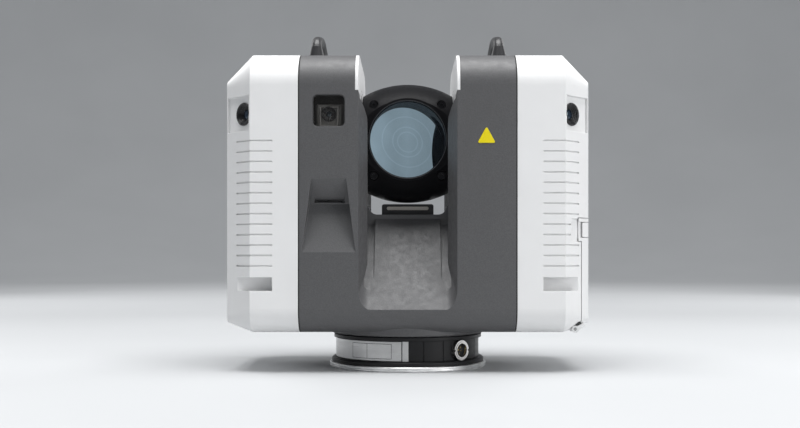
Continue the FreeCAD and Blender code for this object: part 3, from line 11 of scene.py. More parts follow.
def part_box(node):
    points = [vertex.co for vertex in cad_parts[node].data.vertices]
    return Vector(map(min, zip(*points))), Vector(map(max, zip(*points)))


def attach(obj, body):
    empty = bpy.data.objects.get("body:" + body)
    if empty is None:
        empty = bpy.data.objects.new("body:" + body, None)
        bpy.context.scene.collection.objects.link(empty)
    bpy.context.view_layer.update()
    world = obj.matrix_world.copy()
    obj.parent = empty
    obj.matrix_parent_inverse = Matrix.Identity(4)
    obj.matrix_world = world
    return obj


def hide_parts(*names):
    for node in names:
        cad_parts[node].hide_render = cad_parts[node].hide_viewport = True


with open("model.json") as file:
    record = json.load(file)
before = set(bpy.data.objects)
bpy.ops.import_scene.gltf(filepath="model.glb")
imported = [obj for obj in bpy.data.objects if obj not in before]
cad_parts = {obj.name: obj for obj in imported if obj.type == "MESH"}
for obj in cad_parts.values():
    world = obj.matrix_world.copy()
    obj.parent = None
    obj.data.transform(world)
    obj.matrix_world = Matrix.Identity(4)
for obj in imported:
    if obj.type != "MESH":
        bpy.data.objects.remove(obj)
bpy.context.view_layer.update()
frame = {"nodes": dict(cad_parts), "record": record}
NODES = frame["nodes"]
MM = 0.001
WHITE = (0.80, 0.80, 0.80)
EDGE_RADIUS = 0.0006
EDGE_SAMPLES = 6
SMOOTH_ANGLE = math.radians(35)
CORNER_STEPS = 6

# Places that the CAD model settles, read from the frame.
DRUM_LOW, DRUM_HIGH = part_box("rotor_housing")
AXIS_HEIGHT = (DRUM_LOW.z + DRUM_HIGH.z) / 2
WINDOW_LOW, WINDOW_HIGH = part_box("rotor_window")


# ---- node material helpers -------------------------------------------------------------

class Shader:
    """A material under construction: a Principled shader and the nodes that feed it."""

    def __init__(self, name, colour, roughness, metallic=0.0):
        self.material = bpy.data.materials.new(name)
        self.material.use_nodes = True
        self.tree = self.material.node_tree
        self.bsdf = next(n for n in self.tree.nodes if n.type == "BSDF_PRINCIPLED")
        self.set("Base Color", (*colour, 1))
        self.set("Roughness", roughness)
        self.set("Metallic", metallic)
        self.coordinates = self.tree.nodes.new("ShaderNodeTexCoord").outputs["Object"]
        self.normal = None

    def set(self, socket, number):
        self.bsdf.inputs[socket].default_value = number

    def link(self, source, target):
        self.tree.links.new(source, target)

    def scaled(self, factors):
        """Object coordinates stretched by a factor on each axis."""
        mapping = self.tree.nodes.new("ShaderNodeMapping")
        mapping.inputs["Scale"].default_value = factors
        self.link(self.coordinates, mapping.inputs["Vector"])
        return mapping.outputs["Vector"]

    def noise(self, size, detail, stretch=None):
        """Noise whose features are about size metres wide."""
        node = self.tree.nodes.new("ShaderNodeTexNoise")
        node.inputs["Scale"].default_value = 1 / size
        node.inputs["Detail"].default_value = detail
        self.link(self.scaled(stretch) if stretch else self.coordinates, node.inputs["Vector"])
        return node.outputs["Fac"]

    def cells(self, size):
        node = self.tree.nodes.new("ShaderNodeTexVoronoi")
        node.inputs["Scale"].default_value = 1 / size
        self.link(self.coordinates, node.inputs["Vector"])
        return node.outputs["Distance"]

    def remap(self, value, low, high, to_low, to_high):
        node = self.tree.nodes.new("ShaderNodeMapRange")
        for socket, number in zip(("From Min", "From Max", "To Min", "To Max"),
                                  (low, high, to_low, to_high)):
            node.inputs[socket].default_value = number
        self.link(value, node.inputs["Value"])
        return node.outputs["Result"]

    def maths(self, operation, first, second=None):
        node = self.tree.nodes.new("ShaderNodeMath")
        node.operation = operation
        for socket, value in zip(node.inputs, (first, second)):
            if value is None:
                continue
            if isinstance(value, (int, float)):
                socket.default_value = value
            else:
                self.link(value, socket)
        return node.outputs[0]

    def mix(self, factor, first, second):
        """Blend of two colours."""
        node = self.tree.nodes.new("ShaderNodeMix")
        node.data_type = "RGBA"
        self.link(factor, node.inputs["Factor"])
        for name, value in (("A_Color", first), ("B_Color", second)):
            socket = next(s for s in node.inputs if s.identifier == name)
            if isinstance(value, tuple):
                socket.default_value = (*value, 1)
            else:
                self.link(value, socket)
        return next(s for s in node.outputs if s.identifier == "Result_Color")

    def radius(self, centre, axes):
        """Distance from a point, measured across two of the axes."""
        split = self.tree.nodes.new("ShaderNodeSeparateXYZ")
        self.link(self.coordinates, split.inputs[0])
        total = None
        for axis in axes:
            offset = self.maths("SUBTRACT", split.outputs["XYZ".index(axis)],
                                centre["XYZ".index(axis)])
            square = self.maths("MULTIPLY", offset, offset)
            total = square if total is None else self.maths("ADD", total, square)
        return self.maths("SQRT", total)

    def coordinate(self, axis):
        split = self.tree.nodes.new("ShaderNodeSeparateXYZ")
        self.link(self.coordinates, split.inputs[0])
        return split.outputs["XYZ".index(axis)]

    def soften(self, radius):
        """Round sharp edges in the shading, so that they catch a line of light."""
        node = self.tree.nodes.new("ShaderNodeBevel")
        node.samples = EDGE_SAMPLES
        node.inputs["Radius"].default_value = radius
        self.normal = node.outputs["Normal"]
        self.link(self.normal, self.bsdf.inputs["Normal"])
        return self

    def colour(self, source):
        self.link(source, self.bsdf.inputs["Base Color"])

    def roughness(self, source):
        self.link(source, self.bsdf.inputs["Roughness"])

    def bump(self, value, depth):
        """Relief of a given depth in metres; several are stacked."""
        node = self.tree.nodes.new("ShaderNodeBump")
        node.inputs["Distance"].default_value = depth
        node.inputs["Strength"].default_value = 1.0
        self.link(value, node.inputs["Height"])
        if self.normal is not None:
            self.link(self.normal, node.inputs["Normal"])
        self.normal = node.outputs["Normal"]
        self.link(self.normal, self.bsdf.inputs["Normal"])


def shade(colour, factor):
    return tuple(min(1.0, c * factor) for c in colour)


# ---- materials -------------------------------------------------------------------------

def textured_paint(name, colour, roughness, grain, depth, speckle=0.12, gloss=0.5):
    """Paint with a fine pebbled texture, faint speckles and slow drifts of tone."""
    s = Shader(name, colour, roughness).soften(EDGE_RADIUS)
    s.set("Specular IOR Level", gloss)
    fine = s.noise(grain, 3)
    broad = s.noise(0.05, 3)
    speckled = s.mix(s.remap(fine, 0.35, 0.65, 0, 1), shade(colour, 1 - speckle),
                     shade(colour, 1 + speckle))
    s.colour(s.mix(s.remap(broad, 0.3, 0.7, 0, 0.35), speckled, shade(colour, 0.9)))
    s.roughness(s.remap(s.noise(grain * 6, 4), 0.3, 0.7, roughness - 0.07, roughness + 0.07))
    s.bump(fine, depth)
    s.bump(s.cells(grain * 1.8), depth * 0.6)
    return s.material


def moulded_plastic(name, colour, roughness, grain=0.0004, depth=0.00002, grime=0.06):
    """Moulded plastic: fine spark-eroded grain, slight handling marks and tone drift."""
    s = Shader(name, colour, roughness).soften(EDGE_RADIUS)
    s.set("Specular IOR Level", 0.45)
    broad = s.noise(0.035, 5)
    smudge = s.noise(0.012, 8, (1, 1, 0.35))
    aged = s.mix(s.remap(broad, 0.35, 0.75, 0, 1), colour, shade(colour, 1 - grime))
    s.colour(s.mix(s.remap(smudge, 0.62, 0.75, 0, 0.5), aged, shade(colour, 1 - 1.5 * grime)))
    s.roughness(s.remap(smudge, 0.3, 0.7, roughness - 0.08, roughness + 0.08))
    s.bump(s.noise(grain, 2), depth)
    return s.material


def turned_metal(name, colour, roughness, pitch=0.0003, marks=0.25):
    """Lathe-turned metal about Z: fine rings, slight staining."""
    s = Shader(name, colour, roughness, 1.0).soften(EDGE_RADIUS / 2)
    lines = s.noise(pitch, 2, (0.02, 0.02, 1))
    stain = s.noise(0.01, 6)
    s.colour(s.mix(s.remap(stain, 0.4, 0.75, 0, 1), colour, shade(colour, 1 - marks)))
    s.roughness(s.remap(lines, 0.3, 0.7, roughness - 0.08, roughness + 0.1))
    s.bump(lines, 0.00001)
    return s.material


def machined_metal(name, colour, roughness):
    """Bright machined or plated metal with micro scratches."""
    s = Shader(name, colour, roughness, 1.0)
    scratch = s.noise(0.0006, 6, (1, 0.15, 1))
    s.colour(s.mix(s.remap(s.noise(0.004, 5), 0.4, 0.7, 0, 1), colour, shade(colour, 0.82)))
    s.roughness(s.remap(scratch, 0.3, 0.7, roughness - 0.06, roughness + 0.1))
    s.bump(scratch, 0.000006)
    return s.material


def clear_glass(name, tint, density, roughness=0.02, gloss=0.8):
    """Thin pane: its tint covers what is behind it by density, and its faces reflect."""
    s = Shader(name, tint, roughness)
    s.set("Alpha", density)
    s.set("IOR", 1.6)
    s.set("Specular IOR Level", gloss)
    s.roughness(s.remap(s.noise(0.006, 5), 0.45, 0.75, roughness, roughness + 0.05))
    return s.material


def lens_coating(name, tint):
    """Dark glass of a lens with a coloured anti-reflection coating."""
    s = Shader(name, tint, 0.03)
    s.set("Coat Weight", 1.0)
    s.set("Coat Tint", (0.55, 0.75, 1.0, 1))
    s.set("Specular Tint", (0.7, 0.9, 0.75, 1))
    s.colour(s.mix(s.remap(s.noise(0.004, 2), 0.3, 0.7, 0, 1), tint, shade(tint, 2.2)))
    return s.material


# Colour of the mirror, colour of its painted emission, radii and rise of the painted ring
# reflections, and half width of the painted highlight stripe, in metres.
MIRROR_COLOUR = (0.20, 0.27, 0.32)
PAINTED_GLOW_COLOUR = (0.33, 0.45, 0.53)
RING_RADII = (0.0070, 0.0104, 0.0176)
RING_CORE = 0.0001
RING_EDGE = 0.0006
RING_RISE = 0.0015
HIGHLIGHT_BAND_HALF_WIDTH = 0.009


def coated_mirror_with_painted_light():
    """Blue-grey coated mirror, faintly lit by a painted emission, with painted reflections of
    the rings of the optics that it looks at and a painted highlight stripe down its middle.
    """
    s = Shader("mirror_coating_and_painted_light", MIRROR_COLOUR, 0.3, 0.15)
    distance = s.radius((0, 0, AXIS_HEIGHT + RING_RISE), "XZ")
    # Painted reflections: light lines on rings about the axis, where the optics would be
    # reflected.
    rings = None
    for ring_radius in RING_RADII:
        near = s.maths("ABSOLUTE", s.maths("SUBTRACT", distance, ring_radius))
        line = s.remap(near, RING_CORE, RING_EDGE, 1, 0)
        rings = line if rings is None else s.maths("MAXIMUM", rings, line)
    # Painted highlight: a vertical stripe that is lighter towards the middle of the mirror.
    highlight_band = s.remap(s.maths("ABSOLUTE", s.coordinate("X")), 0.0, HIGHLIGHT_BAND_HALF_WIDTH, 0.35, 0)
    cloud = s.remap(s.noise(0.012, 3), 0.35, 0.7, 0, 0.25)
    # Painted light: the ring reflections, the highlight stripe and a random cloud lighten both
    # the colour and the emission.
    painted_light = s.maths("ADD", s.maths("MULTIPLY", rings, 0.6), s.maths("ADD", highlight_band, cloud))
    s.colour(s.mix(painted_light, MIRROR_COLOUR, shade(MIRROR_COLOUR, 1.35)))
    # Painted emission: the mirror lights itself faintly and evenly, though it is no lamp.
    s.link(s.mix(painted_light, PAINTED_GLOW_COLOUR, shade(PAINTED_GLOW_COLOUR, 1.3)), s.bsdf.inputs["Emission Color"])
    s.set("Emission Strength", 0.5)
    s.set("Specular IOR Level", 0.3)
    return s.material


def green_board():
    """Circuit board: green mask with lighter tracks."""
    mask = (0.01, 0.09, 0.045)
    s = Shader("solder_mask", mask, 0.35)
    tracks = s.noise(0.002, 1, (1, 1, 0.1))
    s.colour(s.mix(s.remap(tracks, 0.55, 0.56, 0, 1), mask, (0.03, 0.2, 0.09)))
    s.bump(tracks, 0.00003)
    return s.material


def wound_copper():
    """Motor winding: lacquered wire in lighter and darker turns."""
    wire = (0.62, 0.28, 0.12)
    s = Shader("copper_winding", wire, 0.35, 0.9)
    turns = s.noise(0.0007, 1)
    s.colour(s.mix(s.remap(turns, 0.4, 0.6, 0, 1), wire, (0.35, 0.13, 0.05)))
    s.bump(turns, 0.0002)
    return s.material


def make_materials():
    """Materials of the CAD slots, and of the pieces added here."""
    return {
        "dark_paint": textured_paint("dark_textured_paint", (0.086, 0.086, 0.089), 0.5,
                                     grain=0.0007, depth=0.00004),
        "white_cover": moulded_plastic("white_cover_plastic", WHITE, 0.38, grime=0.03),
        "seal_rubber": moulded_plastic("seal_rubber", (0.012, 0.012, 0.012), 0.7,
                                       grain=0.0006, depth=0.00004),
        "handle_plastic": moulded_plastic("black_handle", (0.022, 0.022, 0.024), 0.4,
                                          grain=0.0005, depth=0.00004),
        "rotor_black": textured_paint("rotor_anodised", (0.008, 0.008, 0.009), 0.42,
                                      grain=0.0004, depth=0.00001, gloss=0.06),
        "black_plastic": moulded_plastic("black_plastic", (0.014, 0.014, 0.016), 0.35),
        "black_base": textured_paint("base_black", (0.014, 0.014, 0.015), 0.35,
                                     grain=0.0005, depth=0.00001, speckle=0.15, gloss=0.2),
        "pale_strip": moulded_plastic("reference_white", (0.5, 0.47, 0.43), 0.5),
        "smoked_glass": clear_glass("smoked_glass", (0.03, 0.029, 0.028), 0.25, gloss=0.3),
        "coated_glass": clear_glass("window_glass", (0.04, 0.06, 0.08), 0.08),
        "lens_glass": lens_coating("lens_glass", (0.01, 0.014, 0.02)),
        "mirror": coated_mirror_with_painted_light(),
        "black_steel": machined_metal("black_oxide_steel", (0.035, 0.035, 0.037), 0.32),
        "camera_inner": moulded_plastic("camera_inner", (0.34, 0.33, 0.31), 0.4),
        "lens_barrel": textured_paint("lens_barrel", (0.012, 0.012, 0.013), 0.3,
                                      grain=0.0003, depth=0.000005, speckle=0.1),
        # Light grey metal for the window rims: a painted highlight of their bevels.
        "painted_highlight_rim": machined_metal("painted_highlight_rim", (0.16, 0.16, 0.165), 0.35),
        "light_ring": moulded_plastic("light_ring", (0.25, 0.42, 0.3), 0.3),
        "plate_silver": turned_metal("label_silver", (0.54, 0.54, 0.54), 0.34,
                                     pitch=0.0004, marks=0.1),
        "ring_metal": turned_metal("ring_aluminium", (0.95, 0.95, 0.95), 0.36),
        "nut_chrome": machined_metal("nut_nickel", (0.72, 0.70, 0.68), 0.18),
        "steel": machined_metal("machined_steel", (0.5, 0.5, 0.5), 0.3),
        "bushing_steel": turned_metal("bushing_steel", (0.5, 0.49, 0.47), 0.3, pitch=0.002),
        "gold": machined_metal("gold_plate", (0.83, 0.6, 0.22), 0.22),
        "copper": wound_copper(),
        "encoder_glass": clear_glass("encoder_glass", (0.7, 0.8, 0.78), 0.4),
        "sensor_black": moulded_plastic("sensor_black", (0.02, 0.02, 0.02), 0.5),
        "battery_grey": moulded_plastic("battery_grey", (0.05, 0.05, 0.052), 0.5),
        "laser_case": machined_metal("laser_case", (0.45, 0.45, 0.47), 0.42),
        "board_green": green_board(),
        "yellow_plate": moulded_plastic("yellow_film", (0.8, 0.66, 0.005), 0.4, grime=0.04),
    }


MATERIALS = make_materials()


def dress_cad_nodes():
    """Give every CAD node the material of its slot."""
    slots = {row["node"]: row["material_slot"] for row in frame["record"]["subparts"]}
    for name, node in NODES.items():
        node.data.materials.clear()
        node.data.materials.append(MATERIALS[slots[name]])


dress_cad_nodes()


# ---- detail pieces ---------------------------------------------------------------------

def place(name, mesh, matrix, body, material):
    """Put finished geometry in the scene on a body, shaded smooth over its blunt edges."""
    for face in mesh.faces:
        face.smooth = True
    for edge in mesh.edges:
        edge.smooth = edge.calc_face_angle(0) < SMOOTH_ANGLE
    data = bpy.data.meshes.new(name)
    mesh.to_mesh(data)
    mesh.free()
    data.transform(matrix)
    piece = bpy.data.objects.new(name, data)
    bpy.context.scene.collection.objects.link(piece)
    data.materials.append(material)
    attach(piece, body)
    return piece


def aim(origin, outward, across=(1, 0, 0)):
    """Frame at a point in millimetres: its Z is outward, its X as near across as it can be."""
    z = Vector(outward).normalized()
    y = z.cross(Vector(across)).normalized()
    x = y.cross(z)
    matrix = Matrix((x, y, z)).transposed().to_4x4()
    matrix.translation = Vector(origin) * MM
    return matrix


def lathe(profile, count=64):
    """Closed solid turned about Z from (radius, height) corners in millimetres."""
    mesh = bmesh.new()
    rows = []
    for radius, height in profile:
        if radius == 0:
            rows.append([mesh.verts.new((0, 0, height * MM))])
            continue
        rows.append([mesh.verts.new((radius * math.cos(math.tau * k / count) * MM,
                                     radius * math.sin(math.tau * k / count) * MM,
                                     height * MM)) for k in range(count)])
    closed = profile[0][0] != 0
    pairs = list(zip(rows, rows[1:])) + ([(rows[-1], rows[0])] if closed else [])
    for first, second in pairs:
        for k in range(count):
            after = (k + 1) % count
            corners = [first[k % len(first)], first[after % len(first)],
                       second[after % len(second)], second[k % len(second)]]
            unique = [v for i, v in enumerate(corners) if v not in corners[:i]]
            if len(unique) > 2:
                mesh.faces.new(unique)
    bmesh.ops.recalc_face_normals(mesh, faces=mesh.faces)
    return mesh


def rounded_loop(outline, centre, shrink, level):
    """Rounded rectangle at a level, anticlockwise; outline is width, height, corner radius."""
    width, height, corner = outline
    radius = max(corner - shrink, 0.02)
    points = []
    for quarter, (sx, sy) in enumerate([(1, 1), (-1, 1), (-1, -1), (1, -1)]):
        for i in range(CORNER_STEPS + 1):
            angle = math.radians(90 * quarter + 90 * i / CORNER_STEPS)
            x = sx * (width / 2 - shrink - radius) + radius * math.cos(angle)
            y = sy * (height / 2 - shrink - radius) + radius * math.sin(angle)
            points.append((x + centre[0], y + centre[1], level))
    return points


def add_stack(mesh, loops, capped=True):
    """Skin over loops of points (x, y, z) in millimetres, with caps at both ends or open."""
    rows = [[mesh.verts.new(Vector(point) * MM) for point in loop] for loop in loops]
    count = len(rows[0])
    for first, second in zip(rows, rows[1:]):
        for k in range(count):
            after = (k + 1) % count
            mesh.faces.new((first[k], first[after], second[after], second[k]))
    if capped:
        mesh.faces.new(rows[0][::-1])
        mesh.faces.new(rows[-1])
    return rows


def add_plate(mesh, outline, low, high, edge=0.15, centre=(0, 0)):
    """Flat plate with a broken upper edge."""
    levels = [(0, low), (0, high - edge), (edge * 0.3, high - edge * 0.3), (edge, high)]
    add_stack(mesh, [rounded_loop(outline, centre, *level) for level in levels])


def add_frame(mesh, outline, border, low, high, edge=0.15, centre=(0, 0)):
    """Rectangular ring with broken upper edges."""
    levels = [(0, low), (0, high - edge), (edge, high), (border - edge, high),
              (border, high - edge), (border, low)]
    rows = add_stack(mesh, [rounded_loop(outline, centre, *level) for level in levels], False)
    for k in range(len(rows[0])):
        after = (k + 1) % len(rows[0])
        mesh.faces.new((rows[-1][k], rows[-1][after], rows[0][after], rows[0][k]))


# The left tower's cameras, in millimetres; the profiles are (radius, height).
TOWER_BARREL = [(0, -12), (4.9, -12), (4.9, -0.5), (4.6, -0.1), (4.2, -0.1), (4.0, -0.5),
                (3.7, -0.5), (3.6, -1.2), (3.1, -1.3), (3.0, -1.9), (2.3, -2.2), (2.2, -3),
                (0, -3)]
TOWER_LENS = [(0, -3), (2.15, -3), (2.1, -2.4), (1.6, -1.95), (0.9, -1.72), (0, -1.65)]
UPPER_MODULE_Y = -57.2
UPPER_LENS_DROP = 1.7
LOWER_TILT = Vector((0, -0.817, -0.575)).normalized()
LOWER_MODULE_DEPTH = 1.5


def make_camera_modules():
    """Sensor frames and stepped lens barrels behind the two panes of the left tower."""
    low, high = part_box("upper_camera_window")
    middle = (low + high) / 2 / MM
    upper = aim((middle.x, UPPER_MODULE_Y, middle.z - UPPER_LENS_DROP), (0, -1, 0))
    pane_low, pane_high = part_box("lower_camera_window")
    pane = (pane_low + pane_high) / 2 / MM
    lower = aim(pane - LOWER_TILT * LOWER_MODULE_DEPTH, LOWER_TILT)
    for name, matrix in (("upper", upper), ("lower", lower)):
        tube = place(f"{name}_lens_barrel", lathe(TOWER_BARREL), matrix, "yoke",
                     MATERIALS["lens_barrel"])
        mesh = bmesh.new()
        if name == "upper":
            centre = (0, -UPPER_LENS_DROP)
            add_frame(mesh, (12.2, 12.8, 0.6), 1.0, -2.6, -0.9, centre=centre)
            add_plate(mesh, (15.5, 15.5, 1.2), -4.2, -2.6, centre=centre)
            add_plate(mesh, (19.0, 19.0, 1.5), -12.6, -11.4, centre=centre)
        else:
            add_frame(mesh, (15.0, 14.0, 1.2), 2.1, -1.7, -1.1)
            add_frame(mesh, (12.2, 12.0, 0.6), 0.8, -1.1, -0.4)
        place(f"{name}_sensor_frame", mesh, matrix, "yoke",
              MATERIALS["camera_inner"])
        place(f"{name}_lens", lathe(TOWER_LENS, 48), matrix, "yoke",
              MATERIALS["lens_glass"])
        if name == "upper":
            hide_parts("camera_modules")
    make_lower_pane(aim(pane, LOWER_TILT))


def make_lower_pane(matrix):
    """Lower camera's pane with rounded corners in a thin dark surround."""
    mesh = bmesh.new()
    add_plate(mesh, (18.6, 18.2, 2.6), -0.6, 0.5, 0.2)
    pane = place("lower_pane", mesh, matrix, "yoke", MATERIALS["smoked_glass"])
    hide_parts("lower_camera_window")
    mesh = bmesh.new()
    add_frame(mesh, (19.8, 19.0, 3.0), 0.6, -0.6, 0.75, 0.2)
    place("lower_pane_surround", mesh, matrix, "yoke", MATERIALS["black_plastic"])


def make_corner_cameras():
    """Panorama cameras: stepped barrels and coated lenses on the four corner chamfers."""
    low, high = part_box("corner_camera_barrels")
    height = (low.z + high.z) / 2 / MM
    radius = (high.z - low.z) / 2 / MM
    reach = high.x / MM - radius * math.sqrt(0.5)
    depth = -low.y / MM - radius * math.sqrt(0.5)
    barrel = [(0, -8.4), (radius, -8.4), (radius, -0.35), (radius - 0.35, 0),
              (radius - 0.9, 0), (radius - 1.15, -0.35), (radius - 1.9, -0.4),
              (radius - 2.0, -1.2), (radius - 2.6, -1.25), (radius - 2.7, -2.0),
              (radius - 3.3, -2.05), (radius - 3.4, -2.8), (radius - 4.0, -2.85),
              (radius - 4.1, -4.2), (0, -4.2)]
    edge = radius - 4.1
    dome = [(0, -4.2), (edge, -4.2), (edge - 0.05, -3.3), (edge * 0.75, -2.75),
            (edge * 0.4, -2.45), (0, -2.35)]
    for side, face in ((-1, -1), (1, -1), (-1, 1), (1, 1)):
        name = f"corner_{'right' if side > 0 else 'left'}_{'front' if face < 0 else 'rear'}"
        matrix = aim((side * reach, face * depth, height), (side, face, 0), (0, 0, 1))
        tube = place(name + "_barrel", lathe(barrel, 72), matrix, "yoke",
                     MATERIALS["lens_barrel"])
        lens = place(name + "_lens", lathe(dome, 48), matrix, "yoke",
                     MATERIALS["lens_glass"])
        if (side, face) == (-1, -1):
            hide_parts("corner_camera_barrels")
            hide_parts("corner_camera_lenses")


def make_window_rims():
    """Fine light grey rims where the rotor's window and the upper pane meet their frames: a
    painted highlight of their bevels.
    """
    radius = (WINDOW_HIGH.x - WINDOW_LOW.x) / 2 / MM
    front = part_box("rotor_bezel")[0].y / MM
    matrix = aim((0, front, AXIS_HEIGHT / MM), (0, -1, 0))
    place("rotor_window_rim", lathe([(radius + 0.02, -1), (radius + 0.45, -1),
                                     (radius + 0.45, -0.02), (radius + 0.3, 0.05),
                                     (radius + 0.12, 0.02), (radius + 0.02, -0.15)], 128),
          matrix, "rotor", MATERIALS["painted_highlight_rim"])
    low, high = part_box("upper_camera_window")
    middle = (low + high) / 2 / MM
    mesh = bmesh.new()
    side = (high.x - low.x) / MM
    add_frame(mesh, (side, side, 3.5), 0.5, -1.2, 0.02)
    place("upper_window_rim", mesh, aim((middle.x, low.y / MM - 0.02, middle.z), (0, -1, 0)),
          "yoke", MATERIALS["painted_highlight_rim"])


# Marks on the white linings, in millimetres.
LINER_X = 32.1
SLOT_Y = 9
SLOT_HEIGHT = 184
PIN_Y = 7.5
PIN_HEIGHT = 191
PIN = [(0, -0.8), (0.6, -0.8), (0.6, 0.02), (0.4, 0.08), (0, 0.08)]


def make_liner_marks():
    """Small dark slots and pins in the white linings beside the drum."""
    for side in (-1, 1):
        for face in (-1, 1):
            name = f"liner_slot_{'right' if side > 0 else 'left'}_{'a' if face < 0 else 'b'}"
            x = side * LINER_X
            mesh = bmesh.new()
            add_plate(mesh, (7.5, 1.1, 0.5), -0.8, 0.06, 0.03)
            place(name, mesh, aim((x, face * SLOT_Y, SLOT_HEIGHT), (-side, 0, 0), (0, 0, 1)),
                  "yoke", MATERIALS["seal_rubber"])
            place(name + "_pin", lathe(PIN, 24),
                  aim((x, face * PIN_Y, PIN_HEIGHT), (-side, 0, 0), (0, 0, 1)), "yoke",
                  MATERIALS["seal_rubber"])


def arc_bar(mesh, radius, first, last, low, high, out, steps=16):
    """Thin bar bent round the azimuth axis; angles in degrees from the front towards +X."""
    loops = []
    for i in range(steps + 1):
        angle = math.radians(first + (last - first) * i / steps - 90)
        c, s = math.cos(angle), math.sin(angle)
        loops.append([((radius + r) * c, (radius + r) * s, z)
                      for r, z in ((0, low), (out, low), (out, high), (0, high))])
    add_stack(mesh, loops)


# Outline on the silver plate: heights and line sizes in millimetres, cell edges in degrees.
OUTLINE_LOW = 8.3
OUTLINE_HIGH = 18.4
OUTLINE_CELLS = (-47.4, -32.8, -12.6)
LINE_WIDTH = 0.3
LINE_ANGLE = 0.35
LINE_SUNK = 0.03
LINE_THICKNESS = 0.06


def make_label_frame():
    """Empty two-cell outline on the silver plate, in raised dark lines."""
    plate = -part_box("label_plates")[0].x / MM - LINE_SUNK
    mesh = bmesh.new()
    for level in (OUTLINE_LOW, OUTLINE_HIGH - LINE_WIDTH):
        arc_bar(mesh, plate, OUTLINE_CELLS[0], OUTLINE_CELLS[2], level, level + LINE_WIDTH,
                LINE_THICKNESS)
    for angle in OUTLINE_CELLS:
        arc_bar(mesh, plate, angle, angle + LINE_ANGLE, OUTLINE_LOW, OUTLINE_HIGH,
                LINE_THICKNESS, 1)
    bmesh.ops.recalc_face_normals(mesh, faces=mesh.faces)
    place("label_outline", mesh, Matrix.Identity(4), "base",
          MATERIALS["sensor_black"])


def make_display_details():
    """Raised lip round the display and a light ring in the power button."""
    low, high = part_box("display_bezel")
    middle = (low + high) / 2 / MM
    mesh = bmesh.new()
    add_frame(mesh, ((high.y - low.y) / MM, (high.z - low.z) / MM, 1.0), 1.1, -0.4, 0.09, 0.08)
    place("display_lip", mesh, aim((low.x / MM, middle.y, middle.z), (-1, 0, 0), (0, -1, 0)),
          "yoke", MATERIALS["black_plastic"])
    low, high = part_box("power_button")
    middle = (low + high) / 2 / MM
    matrix = aim((low.x / MM, middle.y, middle.z), (-1, 0, 0), (0, -1, 0))
    place("power_button_ring", lathe([(3.6, -0.5), (4.5, -0.5), (4.5, 0), (4.35, 0.06),
                                      (3.75, 0.06), (3.6, 0)], 64),
          matrix, "power_button", MATERIALS["light_ring"])


make_camera_modules()
make_corner_cameras()
make_window_rims()
make_liner_marks()
make_label_frame()
make_display_details()


# ---- floor, lights, camera -------------------------------------------------------------

FLOOR_INNER = 1.2
FLOOR_RADIUS = 2.4
FLOOR_SWEEP = 1.8
FLOOR_STEPS = 12
FLOOR_SIDES = 96


def make_floor():
    """Flat round floor that sweeps up far away, so that no horizon shows."""
    profile = [(FLOOR_INNER, 0), (FLOOR_RADIUS, 0)]
    for i in range(1, FLOOR_STEPS + 1):
        angle = math.radians(90 * i / FLOOR_STEPS)
        profile.append((FLOOR_RADIUS + FLOOR_SWEEP * math.sin(angle),
                        FLOOR_SWEEP - FLOOR_SWEEP * math.cos(angle)))
    mesh = bmesh.new()
    rows = []
    for radius, height in profile:
        rows.append([mesh.verts.new((radius * math.cos(math.tau * k / FLOOR_SIDES),
                                     radius * math.sin(math.tau * k / FLOOR_SIDES), height))
                     for k in range(FLOOR_SIDES)])
    mesh.faces.new(rows[0])
    for low, high in zip(rows, rows[1:]):
        for k in range(FLOOR_SIDES):
            after = (k + 1) % FLOOR_SIDES
            mesh.faces.new((low[k], low[after], high[after], high[k])).smooth = True
    data = bpy.data.meshes.new("floor")
    mesh.to_mesh(data)
    mesh.free()
    floor = bpy.data.objects.new("floor", data)
    bpy.context.scene.collection.objects.link(floor)
    s = Shader("floor_paper", (0.50, 0.51, 0.52), 0.7)
    s.colour(s.mix(s.remap(s.noise(0.4, 3), 0.3, 0.7, 0, 1), (0.49, 0.50, 0.51),
                   (0.52, 0.53, 0.54)))
    s.bump(s.noise(0.002, 3), 0.00005)
    floor.data.materials.append(s.material)


LIGHT_TARGET = (0, 0, 0.12)
WORLD_COLOUR = (0.93, 0.96, 1.0, 1)
WORLD_STRENGTH = 0.31
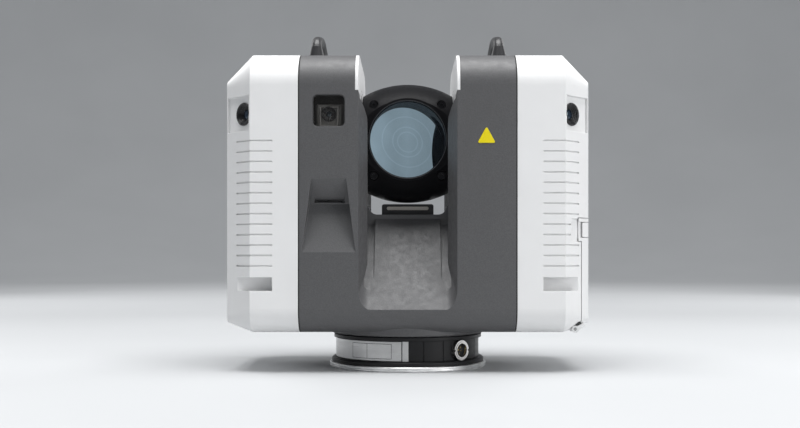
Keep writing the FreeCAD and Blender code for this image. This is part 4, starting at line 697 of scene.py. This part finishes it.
# Name, position, aim, width, height and power.
SOFTBOXES = [
    ("key_right", (1.5, -1.15, 0.6), LIGHT_TARGET, 0.9, 0.9, 14),
    ("top", (0, -0.2, 1.35), LIGHT_TARGET, 1.3, 0.8, 28),
    ("backdrop", (0, 1.0, 1.3), (0, 2.4, 0.9), 2.0, 0.6, 20),
    ("rim_left", (-0.9, 0.9, 0.7), LIGHT_TARGET, 0.5, 0.9, 4),
    ("rim_right", (0.9, 0.9, 0.7), LIGHT_TARGET, 0.5, 0.9, 4),
]


def softbox(name, position, target, width, height, power):
    """Rectangular area light that faces a target; lengths in metres, power in watts."""
    data = bpy.data.lights.new(name, "AREA")
    data.shape = "RECTANGLE"
    data.size = width
    data.size_y = height
    data.energy = power
    lamp = bpy.data.objects.new(name, data)
    bpy.context.scene.collection.objects.link(lamp)
    lamp.location = position
    lamp.rotation_euler = (Vector(target) - Vector(position)).to_track_quat("-Z", "Y").to_euler()


def make_lights():
    """Even surroundings and soft lamps: a key at the right, one above, a wall wash, two rims."""
    world = bpy.data.worlds.new("studio")
    bpy.context.scene.world = world
    world.use_nodes = True
    background = next(n for n in world.node_tree.nodes if n.type == "BACKGROUND")
    background.inputs["Color"].default_value = WORLD_COLOUR
    background.inputs["Strength"].default_value = WORLD_STRENGTH
    for row in SOFTBOXES:
        softbox(*row)


FOCAL_PIXELS = 1065
FRAME_WIDTH = 800
SENSOR_WIDTH = 36
CAMERA_DISTANCE = 0.75
CAMERA_HEIGHT = 0.077
SHIFT_RIGHT = -7.7
SHIFT_UP = 41


def make_camera():
    """Level camera in front of the object; focal length and shifts come from pixels."""
    data = bpy.data.cameras.new("camera")
    data.sensor_width = SENSOR_WIDTH
    data.lens = FOCAL_PIXELS / FRAME_WIDTH * data.sensor_width
    data.shift_x = SHIFT_RIGHT / FRAME_WIDTH
    data.shift_y = SHIFT_UP / FRAME_WIDTH
    camera = bpy.data.objects.new("camera", data)
    bpy.context.scene.collection.objects.link(camera)
    camera.location = (0, -CAMERA_DISTANCE, CAMERA_HEIGHT)
    camera.rotation_euler = (math.radians(90), 0, 0)
    bpy.context.scene.camera = camera
    bpy.context.scene.view_settings.view_transform = "Standard"


make_floor()
make_lights()
make_camera()
